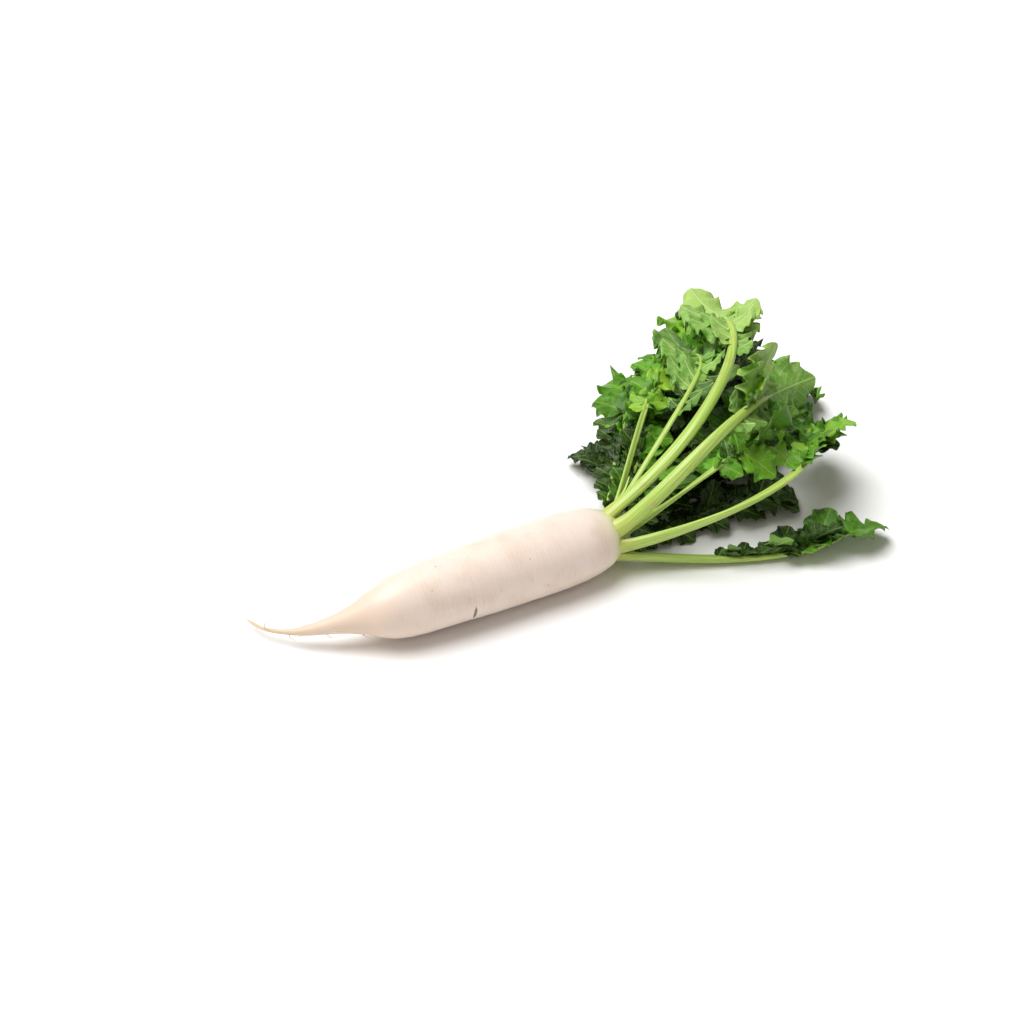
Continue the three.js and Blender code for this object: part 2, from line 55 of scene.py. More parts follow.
# The radians that Blender's wave texture turns through in one unit
WAVE_TEXTURE_RATE = 20.0

# Steps that spread the small differences evenly over leaves, leaflets and uses
LEAF_STEP = 0.7548776662
LEAFLET_STEP = 0.5698402909
USE_STEP = 0.3819660113

# A leaflet that would cross another leaf is bent clear, or grows shorter
CLEAR_TILTS = (0, 16, -16, 32, -32, 48, -48, 64)
CLEAR_SCALES = (1.0, 0.75, 0.55)
SAMPLE_SPACING = 4.0
GROUND_CLEARANCE = 1.6
LEAF_FLOOR_GAP = 0.3


def smoothstep(value: np.ndarray | float) -> np.ndarray:
    """An even rise from 0 to 1 while value goes from 0 to 1."""
    x = np.clip(value, 0.0, 1.0)
    return x * x * (3.0 - 2.0 * x)


def vary(leaf: int, leaflet: int, use: int) -> float:
    """A number between 0 and 1, a different one for each leaf, leaflet and use."""
    return (0.5 + leaf * LEAF_STEP + leaflet * LEAFLET_STEP + use * USE_STEP) % 1.0


def swing(leaf: int, leaflet: int, use: int) -> float:
    """The same spread, between -1 and 1."""
    return 2.0 * vary(leaf, leaflet, use) - 1.0


def unit(vectors: np.ndarray) -> np.ndarray:
    """The vectors, each at length 1."""
    return vectors / np.linalg.norm(vectors, axis=-1, keepdims=True)


def turned(vector: np.ndarray, axis: np.ndarray, angle: np.ndarray | float) -> np.ndarray:
    """The vector turned about a unit axis, by the right-hand rule.

    Args:
        vector: One vector, or one to a row.
        axis: The unit axis, or one to a row.
        angle: The turn in radians, one number or a column of them.

    Returns:
        The turned vector or vectors.
    """
    along = axis * np.sum(axis * vector, axis=-1, keepdims=True)
    return vector * np.cos(angle) + np.cross(axis, vector) * np.sin(angle) + along * (1.0 - np.cos(angle))


def unevenness(points: np.ndarray, size: float, seed: int) -> np.ndarray:
    """A smooth unevenness, mostly between -1 and 1, as a sum of seeded sine waves.

    Args:
        points: Points in millimetres, one to a row.
        size: The usual length of a wave in millimetres.
        seed: The seed of the waves' directions.

    Returns:
        One height for each point.
    """
    count, shortest, longest = 7, 0.7, 1.6
    random = np.random.default_rng(seed)
    directions = unit(random.normal(size=(count, 3)))
    lengths = size * random.uniform(shortest, longest, (count, 1))
    phases = random.uniform(0.0, 2.0 * math.pi, count)
    waves = np.sin(points @ (directions * 2.0 * math.pi / lengths).T + phases)
    return waves.sum(axis=-1) / math.sqrt(count)


def linear(code: str) -> tuple[float, float, float, float]:
    """An sRGB colour in linear light and with its alpha.

    Args:
        code: The colour, written as #rrggbb.

    Returns:
        Its red, green and blue in linear light, and an alpha of 1.
    """
    parts = [int(code[i:i + 2], 16) / 255.0 for i in (1, 3, 5)]
    light = [c / 12.92 if c <= 0.04045 else ((c + 0.055) / 1.055) ** 2.4 for c in parts]
    return (*light, 1.0)


def add_node(
    material: bpy.types.Material,
    kind: str,
    inputs: dict[str | int, object] | None = None,
    **settings: object,
) -> bpy.types.Node:
    """Adds a node to a material, with its settings, input values and links.

    Args:
        material: The material that the node goes into.
        kind: The node's Blender type, such as ShaderNodeMath.
        inputs: A value or an output socket for each input, by its name or number.
        **settings: The node's own properties.

    Returns:
        The new node.
    """
    tree = material.node_tree
    node = tree.nodes.new(kind)
    for key, value in settings.items():
        setattr(node, key, value)
    for key, value in (inputs or {}).items():
        if isinstance(value, bpy.types.NodeSocket):
            tree.links.new(value, node.inputs[key])
        else:
            node.inputs[key].default_value = value
    return node


def new_material(name: str) -> bpy.types.Material:
    """An empty node material."""
    material = bpy.data.materials.new(name)
    material.use_nodes = True
    material.node_tree.nodes.clear()
    return material


def mixed(
    material: bpy.types.Material,
    share: bpy.types.NodeSocket,
    first: object,
    second: object,
) -> bpy.types.NodeSocket:
    """A mix of two colours, each a value or a socket, by a share between 0 and 1."""
    node = add_node(
        material, "ShaderNodeMix", {0: share, 6: first, 7: second}, data_type="RGBA", clamp_factor=True
    )
    return node.outputs[2]


def ranged(
    material: bpy.types.Material,
    value: bpy.types.NodeSocket,
    low: float,
    high: float,
    to_low: float = 0.0,
    to_high: float = 1.0,
) -> bpy.types.NodeSocket:
    """A value taken smoothly from the range low to high into another range, and held there."""
    node = add_node(
        material,
        "ShaderNodeMapRange",
        {"Value": value, "From Min": low, "From Max": high, "To Min": to_low, "To Max": to_high},
        interpolation_type="SMOOTHSTEP",
    )
    return node.outputs["Result"]


def worked_out(
    material: bpy.types.Material, operation: str, *values: object
) -> bpy.types.NodeSocket:
    """The result of a mathematical operation on one to three values or sockets."""
    node = add_node(material, "ShaderNodeMath", dict(enumerate(values)), operation=operation)
    return node.outputs[0]


def make_piece(
    name: str,
    points: np.ndarray,
    faces: Sequence[Sequence[int]],
    materials: Iterable[bpy.types.Material],
    face_materials: np.ndarray | None = None,
    marks: dict[str, np.ndarray] | None = None,
) -> bpy.types.Object:
    """Makes a smooth mesh object at the origin.

    Args:
        name: The object's name.
        points: The mesh's points in millimetres, one to a row.
        faces: The corners of each face.
        materials: The materials, in the order of face_materials' numbers.
        face_materials: The number of each face's material, or None for the first.
        marks: Named values on the points, for the materials: one number each, or three.

    Returns:
        The new object, linked to the scene.
    """
    mesh = bpy.data.meshes.new(name)
    mesh.from_pydata((points * MM).tolist(), [], faces)
    for material in materials:
        mesh.materials.append(material)
    if face_materials is not None:
        mesh.polygons.foreach_set("material_index", face_materials.astype(np.int32))
    for key, values in (marks or {}).items():
        wide = values.ndim == 2
        attribute = mesh.attributes.new(key, "FLOAT_VECTOR" if wide else "FLOAT", "POINT")
        attribute.data.foreach_set("vector" if wide else "value", values.astype(np.float32).ravel())
    mesh.shade_smooth()
    mesh.update()
    piece = bpy.data.objects.new(name, mesh)
    bpy.context.scene.collection.objects.link(piece)
    return piece


def tube_faces(rows: int, sides: int, first: int = 0) -> list[tuple[int, ...]]:
    """The faces of a closed tube with flat ends.

    Args:
        rows: The number of rings along the tube.
        sides: The number of points in each ring.
        first: The number of the first ring's first point.

    Returns:
        The corners of each face.
    """
    faces = []
    for row in range(rows - 1):
        for side in range(sides):
            low, next_low = first + row * sides + side, first + row * sides + (side + 1) % sides
            faces.append((low, next_low, next_low + sides, low + sides))
    faces.append(tuple(first + side for side in reversed(range(sides))))
    faces.append(tuple(first + (rows - 1) * sides + side for side in range(sides)))
    return faces


def blade_faces(rows: int, columns: int, first: int) -> tuple[list[tuple[int, ...]], list[int]]:
    """The faces of a thin closed blade: its upper grid, its lower one and the rim between.

    Args:
        rows: The number of rows of points along the blade.
        columns: The number of points across it.
        first: The number of the upper grid's first point. The lower grid follows it.

    Returns:
        The faces, and for each 0 where it is on the upper side or rim, and 1 on the lower side.
    """
    grid = np.arange(rows * columns).reshape(rows, columns) + first
    under = rows * columns
    quads = np.stack([grid[:-1, :-1], grid[:-1, 1:], grid[1:, 1:], grid[1:, :-1]], axis=-1).reshape(-1, 4)
    rim = np.concatenate([grid[0, :-1], grid[:-1, -1], grid[-1, :0:-1], grid[:0:-1, 0]])
    edge = np.stack([rim, rim + under, np.roll(rim, -1) + under, np.roll(rim, -1)], axis=-1)
    faces = np.concatenate([quads, edge, quads[:, ::-1] + under])
    sides = [0] * (len(quads) + len(edge)) + [1] * len(quads)
    return [tuple(face) for face in faces.tolist()], sides


@dataclass(frozen=True)
class SkinFinish:
    """Washed daikon skin: thin, smooth and a little moist, with a soft gloss.

    The flesh under it is pale and lets light in, so that the shade on it stays warm.
    """

    name: str = "daikon_skin_washed"
    light: str = "#eedfd3"
    warm: str = "#e6d3c4"
    line: str = "#cfb79f"
    speck: str = "#a3805f"
    scar: str = "#d2bba2"
    tail: str = "#e0cbb8"
    tip: str = "#d3bd9f"
    shoulder: str = "#e6dfbf"
    neck: str = "#cdd07c"
    crown: str = "#a3b24a"
    crown_shade: str = "#6f7f2c"
    nick: str = "#6b5a42"
    mottle_size: float = 38.0
    blotch_size: float = 4.0
    line_spacing: float = 4.5
    speck_spacing: float = 15.0
    speck_squeeze: float = 2.2
    speck_strength: float = 0.75
    scar_strength: float = 0.3
    relief_height: float = 0.4
    relief_strength: float = 0.35
    roughness: float = 0.38
    ior: float = 1.42
    flesh_depth: float = 3.0
    axis_height: float = 36.6

    # Where along the root each colour sets in and where it is full, in millimetres
    TAIL_ZONE = (-110.0, -190.0)
    TIP_ZONE = (-205.0, -262.0)
    SHOULDER_ZONE = (74.0, 92.0)
    NECK_ZONE = (86.5, 94.5)
    CROWN_ZONE = (100.5, 104.5)
    AGED_ZONE = (100.0, 105.0)
    ZONE_UNEVENNESS = 12.0
    NECK_SHARE = 0.7
    AGED_SHARE = 0.8

    # The part of a noise between 0 and 1 over which each effect sets in
    WARM_BAND = (0.42, 0.68)
    BROKEN_BAND = (0.4, 0.65)
    AGED_BAND = (0.45, 0.62)
    GLOSS_BAND = (0.3, 0.75)

    # How much rougher the glossiest and the dullest skin is than the usual one
    ROUGHNESS_SPREAD = (-0.05, 0.08)

    # How deep lines, specks and the nick lie, beside the skin's own unevenness
    LINE_DEPTH = 0.6
    SPECK_DEPTH = 0.8
    NICK_DEPTH = 2.0

    # The lines' crests that show, and how clear they are where broken and where whole
    LINE_CREST = (0.86, 1.0)
    LINE_SHARES = (0.08, 0.2)

    # A speck's greatest size and soft edge, as parts of the spacing
    SPECK_CHANCE = (0.35, 1.0)
    SPECK_SIZE = 0.09
    SPECK_EDGE = (-0.015, 0.03)

    # The nick: its reach past the middle as parts of its length, and sizes in millimetres
    NICK_REACH = (0.55, 0.2)
    NICK_HALF_WIDTH = 1.6
    NICK_EDGE = (-0.3, 0.4)
    NICK_SHARE = 0.85
    NICK_SLICE = (-20.0, -12.0)

    def material(self, nick: tuple[np.ndarray, np.ndarray]) -> bpy.types.Material:
        """The finish as a material.

        Args:
            nick: The two ends of the nick in the skin, in millimetres.

        Returns:
            The new material.
        """
        material = new_material(self.name)
        place = add_node(material, "ShaderNodeNewGeometry").outputs["Position"]
        along = add_node(material, "ShaderNodeSeparateXYZ", {0: place}).outputs["X"]
        mottle = add_node(
            material, "ShaderNodeTexNoise",
            {"Vector": place, "Scale": 1.0 / (self.mottle_size * MM), "Detail": 3.0},
        ).outputs["Fac"]
        colour = mixed(
            material, ranged(material, mottle, *self.WARM_BAND), linear(self.light), linear(self.warm)
        )
        lines = self.growth_lines(material, place, mottle)
        colour = mixed(material, lines, colour, linear(self.line))
        specks = self.specks(material, place)
        colour = mixed(material, specks, colour, linear(self.speck))
        scar = add_node(material, "ShaderNodeAttribute", attribute_name="scar").outputs["Fac"]
        scar = worked_out(material, "MULTIPLY", scar, self.scar_strength)
        colour = mixed(material, scar, colour, linear(self.scar))
        colour = self.ends(material, along, mottle, colour)
        cut = self.nick_share(material, place, nick)
        colour = mixed(material, cut, colour, linear(self.nick))
        relief = worked_out(material, "MULTIPLY_ADD", lines, -self.LINE_DEPTH, mottle)
        relief = worked_out(material, "MULTIPLY_ADD", specks, -self.SPECK_DEPTH, relief)
        relief = worked_out(material, "MULTIPLY_ADD", cut, -self.NICK_DEPTH, relief)
        bump = add_node(material, "ShaderNodeBump", {
            "Height": relief, "Strength": self.relief_strength, "Distance": self.relief_height * MM,
        })
        smoothest, roughest = (self.roughness + spread for spread in self.ROUGHNESS_SPREAD)
        rough = ranged(material, mottle, *self.GLOSS_BAND, smoothest, roughest)
        shader = add_node(material, "ShaderNodeBsdfPrincipled", {
            "Base Color": colour, "Roughness": rough, "Normal": bump.outputs[0], "IOR": self.ior,
            "Subsurface Weight": 0.25, "Subsurface Radius": (1.0, 0.75, 0.5),
            "Subsurface Scale": self.flesh_depth * MM, "Coat Weight": 0.12, "Coat Roughness": 0.25,
        })
        add_node(material, "ShaderNodeOutputMaterial", {"Surface": shader.outputs[0]})
        return material

    def growth_lines(
        self, material: bpy.types.Material, place: bpy.types.NodeSocket, mottle: bpy.types.NodeSocket
    ) -> bpy.types.NodeSocket:
        """The fine broken lines that run round the root.

        Args:
            material: The material that the nodes go into.
            place: The place of the shaded point.
            mottle: The skin's own unevenness, which breaks the lines up.

        Returns:
            How far a point lies on a line, between 0 and 1.
        """
        wave = add_node(
            material, "ShaderNodeTexWave",
            {
                "Vector": place,
                "Scale": 2.0 * math.pi / (self.line_spacing * MM) / WAVE_TEXTURE_RATE,
                "Distortion": 5.0, "Detail": 3.0, "Detail Scale": 2.2,
            },
            bands_direction="X",
        ).outputs["Fac"]
        thin = ranged(material, wave, *self.LINE_CREST)
        broken = ranged(material, mottle, *self.BROKEN_BAND, *self.LINE_SHARES)
        return worked_out(material, "MULTIPLY", thin, broken)

    def specks(
        self, material: bpy.types.Material, place: bpy.types.NodeSocket
    ) -> bpy.types.NodeSocket:
        """The small brown specks in the skin, which are wider than long.

        Args:
            material: The material that the nodes go into.
            place: The place of the shaded point.

        Returns:
            How far a point lies in a speck, between 0 and 1.
        """
        squeeze = (self.speck_squeeze, 1.0, 1.0)
        squeezed = add_node(
            material, "ShaderNodeVectorMath", {0: place, 1: squeeze}, operation="MULTIPLY"
        ).outputs[0]
        cells = add_node(
            material, "ShaderNodeTexVoronoi",
            {"Vector": squeezed, "Scale": 1.0 / (self.speck_spacing * MM), "Randomness": 1.0},
        )
        chance = add_node(material, "ShaderNodeSeparateColor", {0: cells.outputs["Color"]}).outputs[0]
        size = ranged(material, chance, *self.SPECK_CHANCE, 0.0, self.SPECK_SIZE)
        gap = worked_out(material, "SUBTRACT", size, cells.outputs["Distance"])
        return worked_out(
            material, "MULTIPLY", ranged(material, gap, *self.SPECK_EDGE), self.speck_strength
        )

    def ends(
        self,
        material: bpy.types.Material,
        along: bpy.types.NodeSocket,
        mottle: bpy.types.NodeSocket,
        colour: bpy.types.NodeSocket,
    ) -> bpy.types.NodeSocket:
        """The skin's colour with the yellower tail, the greening neck and the crown's leaf marks.

        Args:
            material: The material that the nodes go into.
            along: The place along the root.
            mottle: The skin's own unevenness, which makes the zones' edges uneven.
            colour: The colour of the skin between its ends.

        Returns:
            The colour with both ends.
        """
        uneven = worked_out(material, "MULTIPLY_ADD", mottle, self.ZONE_UNEVENNESS * MM, along)
        for zone, share, tint in (
            (self.TAIL_ZONE, 1.0, self.tail),
            (self.TIP_ZONE, 1.0, self.tip),
            (self.SHOULDER_ZONE, 1.0, self.shoulder),
            (self.NECK_ZONE, self.NECK_SHARE, self.neck),
            (self.CROWN_ZONE, 1.0, self.crown),
        ):
            colour = mixed(material, self.zone(material, uneven, zone, share), colour, linear(tint))
        blotch = add_node(
            material, "ShaderNodeTexNoise", {"Scale": 1.0 / (self.blotch_size * MM), "Detail": 3.0}
        ).outputs["Fac"]
        aged = worked_out(
            material, "MULTIPLY",
            ranged(material, blotch, *self.AGED_BAND),
            self.zone(material, uneven, self.AGED_ZONE, self.AGED_SHARE),
        )
        return mixed(material, aged, colour, linear(self.crown_shade))

    def zone(
        self,
        material: bpy.types.Material,
        along: bpy.types.NodeSocket,
        ends: tuple[float, float],
        share: float,
    ) -> bpy.types.NodeSocket:
        """How far a zone has set in at a place along the root, up to a share."""
        return ranged(material, along, ends[0] * MM, ends[1] * MM, 0.0, share)

    def nick_share(
        self,
        material: bpy.types.Material,
        place: bpy.types.NodeSocket,
        nick: tuple[np.ndarray, np.ndarray],
    ) -> bpy.types.NodeSocket:
        """How far a point lies in the nick: in the slice through its line that faces outward.

        Args:
            material: The material that the nodes go into.
            place: The place of the shaded point.
            nick: The two ends of the nick, in millimetres.

        Returns:
            The share of the nick's colour, between 0 and 1.
        """
        start, end = (Vector(point) * MM for point in nick)
        line = end - start
        outward = Vector((0.0, start.y, start.z - self.axis_height * MM)).normalized()
        level = line.cross(outward).normalized()
        reach = add_node(
            material, "ShaderNodeVectorMath", {0: place, 1: start}, operation="SUBTRACT"
        ).outputs[0]
        parts = [
            add_node(
                material, "ShaderNodeVectorMath", {0: reach, 1: direction}, operation="DOT_PRODUCT"
            ).outputs["Value"]
            for direction in (line / line.length_squared, level, outward)
        ]
        middle = worked_out(material, "ABSOLUTE", worked_out(material, "SUBTRACT", parts[0], 0.5))
        width = ranged(material, middle, *self.NICK_REACH, 0.0, self.NICK_HALF_WIDTH * MM)
        gap = worked_out(material, "SUBTRACT", width, worked_out(material, "ABSOLUTE", parts[1]))
        cut = self.zone(material, gap, self.NICK_EDGE, self.NICK_SHARE)
        near = self.zone(material, parts[2], self.NICK_SLICE, 1.0)
        return worked_out(material, "MULTIPLY", cut, near)


@dataclass(frozen=True)
class HairFinish:
    """Thin root hairs, dried a little at their ends: dull and pale, between cream and straw."""

    name: str = "root_hair_dried"
    pale: str = "#d2c5b4"
    dry: str = "#a39178"
    patch_size: float = 5.0
    roughness: float = 0.65

    # The part of a noise between 0 and 1 over which the dry colour sets in
    DRY_BAND = (0.4, 0.65)

    def material(self) -> bpy.types.Material:
        """The finish as a material."""
        material = new_material(self.name)
        place = add_node(material, "ShaderNodeNewGeometry").outputs["Position"]
        patch = add_node(
            material, "ShaderNodeTexNoise",
            {"Vector": place, "Scale": 1.0 / (self.patch_size * MM), "Detail": 2.0},
        ).outputs["Fac"]
        dried = ranged(material, patch, *self.DRY_BAND)
        colour = mixed(material, dried, linear(self.pale), linear(self.dry))
        shader = add_node(
            material, "ShaderNodeBsdfPrincipled", {"Base Color": colour, "Roughness": self.roughness}
        )
        add_node(material, "ShaderNodeOutputMaterial", {"Surface": shader.outputs[0]})
        return material


@dataclass(frozen=True)
class StalkFinish:
    """A fresh leaf stalk: juicy, smooth and ribbed along its length, with a waxy gloss."""

    name: str = "leaf_stalk_fresh"
    light: str = "#bdd571"
    mid: str = "#9cbd50"
    deep: str = "#6d942d"
    base: str = "#b6bf5f"
    blush: str = "#b3a066"
    stripe_width: float = 1.1
    stripe_length: float = 90.0
    patch_size: float = 22.0
    relief_height: float = 0.3
    relief_strength: float = 0.4
    roughness: float = 0.34
    ior: float = 1.42

    # Where each colour sets in and is full: in a noise, in the tone, or in millimetres along
    LIGHT_BAND = (0.36, 0.62)
    DEEP_BAND = (0.35, 1.0)
    BASE_ZONE = (34.0, 8.0)
    BLUSH_BAND = (0.55, 0.72)

    # How much of each colour there is where it is full
    DEEP_SHARE = 0.7
    BASE_SHARE = 0.75
    BLUSH_SHARE = 0.45

    def material(self) -> bpy.types.Material:
        """The finish as a material.

        The mark stem holds a point's millimetres along and around the stalk, and its tone, which is partly
        painted shade on the back and low leaves.

        Returns:
            The new material.
        """
        material = new_material(self.name)
        stem = add_node(material, "ShaderNodeAttribute", attribute_name="stem").outputs["Vector"]
        parts = add_node(material, "ShaderNodeSeparateXYZ", {0: stem})
        stretched = add_node(material, "ShaderNodeCombineXYZ", {
            0: worked_out(material, "DIVIDE", parts.outputs["X"], self.stripe_length),
            1: worked_out(material, "DIVIDE", parts.outputs["Y"], self.stripe_width),
            2: parts.outputs["Z"],
        }).outputs[0]
        stripes = add_node(
            material, "ShaderNodeTexNoise", {"Vector": stretched, "Scale": 1.0, "Detail": 2.0}
        ).outputs["Fac"]
        patch = add_node(
            material, "ShaderNodeTexNoise", {"Vector": stem, "Scale": 1.0 / self.patch_size, "Detail": 3.0}
        ).outputs["Fac"]
        colour = linear(self.mid)
        for value, band, share, tint in (
            (stripes, self.LIGHT_BAND, 1.0, self.light),
            # The deep green follows the leaf's tone, so it carries the painted shade of the back and low
            # leaves
            (parts.outputs["Z"], self.DEEP_BAND, self.DEEP_SHARE, self.deep),
            (parts.outputs["X"], self.BASE_ZONE, self.BASE_SHARE, self.base),
            (patch, self.BLUSH_BAND, self.BLUSH_SHARE, self.blush),
        ):
            colour = mixed(material, ranged(material, value, *band, 0.0, share), colour, linear(tint))
        bump = add_node(material, "ShaderNodeBump", {
            "Height": stripes, "Strength": self.relief_strength, "Distance": self.relief_height * MM,
        })
        shader = add_node(material, "ShaderNodeBsdfPrincipled", {
            "Base Color": colour, "Roughness": self.roughness, "Normal": bump.outputs[0],
            "IOR": self.ior, "Subsurface Weight": 0.15, "Subsurface Radius": (0.6, 1.0, 0.2),
            "Subsurface Scale": 1.5 * MM, "Coat Weight": 0.15, "Coat Roughness": 0.2,
        })
        add_node(material, "ShaderNodeOutputMaterial", {"Surface": shader.outputs[0]})
        return material


@dataclass(frozen=True)
class BladeFinish:
    """One side of a fresh radish leaf: a thin waxy blade between pale veins."""

    name: str
    bright: str
    mid: str
    deep: str
    vein: str
    vein_strength: float
    vein_height: float
    wax_and_sheen: str
    roughness: float
    wax_and_sheen_size: float = 9.0
    mottle_size: float = 12.0
    side_vein_spacing: float = 8.5
    side_vein_lean: float = 1.1
    mesh_size: float = 3.2
    relief_height: float = 0.6
    relief_strength: float = 0.6
    ior: float = 1.42

    # How far the mottle moves the tone, and the tones at which each green sets in and is full
    TONE_SWING = 0.5
    MID_TONES = (0.0, 0.5)
    DEEP_TONES = (0.45, 1.0)

    # The pale waxy patches, which also paint in the blade's sheen: where in a noise they set in, and their
    # strength by tone
    WAX_AND_SHEEN_BAND = (0.46, 0.7)
    WAX_AND_SHEEN_TONES = (0.3, 1.0)
    WAX_AND_SHEEN_SHARES = (0.5, 0.12)

    # The tones over which the veins fade, and the part of their strength that stays
    VEIN_TONES = (0.2, 0.95)
    VEIN_FADED = 0.45

    # The veins' edges: millimetres for the middle vein, parts of their spacing for the others
    MIDDLE_VEIN = (1.1, 0.35)
    SIDE_VEIN = (0.07, 0.02)
    SIDE_VEIN_SHARE = 0.7
    SIDE_VEIN_SHIFT = 0.22
    NET_VEIN = (0.12, 0.02)
    NET_VEIN_SHARE = 0.22

    def material(self) -> bpy.types.Material:
        """The side as a material.

        The mark blade holds a point's millimetres out along its leaflet and across it, and a number of its
        own for the leaflet. The mark tone says how deep its green is, with painted shade in it: deeper on the
        back and low leaves, near the crown, near the floor and inside the bunch.

        Returns:
            The new material.
        """
        material = new_material(self.name)
        blade = add_node(material, "ShaderNodeAttribute", attribute_name="blade").outputs["Vector"]
        tone = add_node(material, "ShaderNodeAttribute", attribute_name="tone").outputs["Fac"]
        parts = add_node(material, "ShaderNodeSeparateXYZ", {0: blade})
        out, across = parts.outputs["X"], parts.outputs["Y"]
        mottle, waxy = (
            add_node(
                material, "ShaderNodeTexNoise", {"Vector": blade, "Scale": 1.0 / size, "Detail": detail}
            ).outputs["Fac"]
            for size, detail in ((self.mottle_size, 3.0), (self.wax_and_sheen_size, 4.0))
        )
        veins = self.veins(material, blade, out, across)
        tone = worked_out(material, "SUBTRACT", tone, self.TONE_SWING / 2.0)
        tone = worked_out(material, "MULTIPLY_ADD", mottle, self.TONE_SWING, tone)
        green = ranged(material, tone, *self.MID_TONES)
        colour = mixed(material, green, linear(self.bright), linear(self.mid))
        colour = mixed(material, ranged(material, tone, *self.DEEP_TONES), colour, linear(self.deep))
        # Pale waxy patches that are partly a painted sheen, stronger on the brighter leaves
        waxy = worked_out(
            material, "MULTIPLY",
            ranged(material, waxy, *self.WAX_AND_SHEEN_BAND),
            ranged(material, tone, *self.WAX_AND_SHEEN_TONES, *self.WAX_AND_SHEEN_SHARES),
        )
        colour = mixed(material, waxy, colour, linear(self.wax_and_sheen))
        strength = ranged(
            material, tone, *self.VEIN_TONES, self.vein_strength, self.VEIN_FADED * self.vein_strength
        )
        strength = worked_out(material, "MULTIPLY", veins, strength)
        colour = mixed(material, strength, colour, linear(self.vein))
        relief = worked_out(material, "MULTIPLY_ADD", veins, self.vein_height, mottle)
        bump = add_node(material, "ShaderNodeBump", {
            "Height": relief, "Strength": self.relief_strength, "Distance": self.relief_height * MM,
        })
        shader = add_node(material, "ShaderNodeBsdfPrincipled", {
            "Base Color": colour, "Roughness": self.roughness, "Normal": bump.outputs[0],
            "IOR": self.ior, "Specular IOR Level": 0.35, "Coat Weight": 0.05, "Coat Roughness": 0.3,
        })
        add_node(material, "ShaderNodeOutputMaterial", {"Surface": shader.outputs[0]})
        return material

    def veins(
        self,
        material: bpy.types.Material,
        blade: bpy.types.NodeSocket,
        out: bpy.types.NodeSocket,
        across: bpy.types.NodeSocket,
    ) -> bpy.types.NodeSocket:
        """The middle vein, the side veins that lean to the tip, and the fine mesh between them.

        Args:
            material: The material that the nodes go into.
            blade: The mark blade.
            out: The millimetres out along the leaflet.
            across: The millimetres across it.

        Returns:
            How far a point lies on a vein, between 0 and 1.
        """
        off = worked_out(material, "ABSOLUTE", across)
        middle = ranged(material, off, *self.MIDDLE_VEIN)
        side = worked_out(material, "SIGN", across)
        lean = worked_out(material, "MULTIPLY_ADD", off, -self.side_vein_lean, out)
        step = worked_out(material, "DIVIDE", lean, self.side_vein_spacing)
        step = worked_out(material, "MULTIPLY_ADD", side, self.SIDE_VEIN_SHIFT, step)
        nearest = worked_out(material, "PINGPONG", step, 0.5)
        branch = ranged(material, nearest, *self.SIDE_VEIN, 0.0, self.SIDE_VEIN_SHARE)
        cells = add_node(
            material, "ShaderNodeTexVoronoi", {"Vector": blade, "Scale": 1.0 / self.mesh_size},
            feature="DISTANCE_TO_EDGE",
        ).outputs["Distance"]
        net = ranged(material, cells, *self.NET_VEIN, 0.0, self.NET_VEIN_SHARE)
        return worked_out(material, "MAXIMUM", worked_out(material, "MAXIMUM", middle, branch), net)


class BladeSide(Enum):
    """The two sides of a leaf blade, with the finish of each."""

    UPPER = BladeFinish(
        name="leaf_blade_upper", bright="#94c035", mid="#549618", deep="#0f2c04", vein="#a4c452",
        vein_strength=0.6, vein_height=-1.2, wax_and_sheen="#87b050", roughness=0.4,
    )
    LOWER = BladeFinish(
        name="leaf_blade_lower", bright="#9fc45f", mid="#6aa038", deep="#254e0f", vein="#c8da92",
        vein_strength=0.8, vein_height=1.6, wax_and_sheen="#a8c774", roughness=0.5,
    )


class Tone(Enum):
    """How deep the green of a leaf is: partly its own green, the younger outer ones being brighter, and
    partly painted shade, the back and low leaves being darker where the bunch shades them.
    """

    BRIGHT = 0.28
    FRESH = 0.5
    DEEP = 0.9


@dataclass(frozen=True)
class Line:
    """Points along a stalk, with the directions that turn with it and the distance to each."""

    point: np.ndarray
    tangent: np.ndarray
    upper: np.ndarray
    distance: np.ndarray

    @property
    def length(self) -> float:
        """The length of the whole line."""
        return float(self.distance[-1])

    def at(self, distance: np.ndarray | float) -> tuple[np.ndarray, np.ndarray, np.ndarray, np.ndarray]:
        """The line's frame at each distance along it.

        Args:
            distance: One distance, or an array of them of any shape.

        Returns:
            The point, tangent, upper direction and side direction at each distance.
        """
        wanted = np.asarray(distance, float)
        after = np.clip(np.searchsorted(self.distance, wanted), 1, len(self.distance) - 1)
        before = after - 1
        gap = self.distance[after] - self.distance[before]
        share = ((wanted - self.distance[before]) / gap)[..., None]
        point = self.point[before] * (1.0 - share) + self.point[after] * share
        tangent = unit(self.tangent[before] * (1.0 - share) + self.tangent[after] * share)
        upper = self.upper[before] * (1.0 - share) + self.upper[after] * share
        upper = unit(upper - tangent * np.sum(upper * tangent, axis=-1, keepdims=True))
        return point, tangent, upper, np.cross(tangent, upper)


def bezier(controls: np.ndarray, shares: np.ndarray) -> tuple[np.ndarray, np.ndarray]:
    """Points on a Bezier curve.

    Args:
        controls: The points that steer the curve, one to a row.
        shares: The shares of the curve, from 0 to 1.

    Returns:
        The point and the unit tangent at each share.
    """
    level = np.repeat(controls[:, None, :], len(shares), axis=1)
    share = shares[None, :, None]
    while len(level) > 2:
        level = level[:-1] * (1.0 - share) + level[1:] * share
    return (level[0] * (1.0 - share) + level[1] * share)[0], unit(level[1] - level[0])


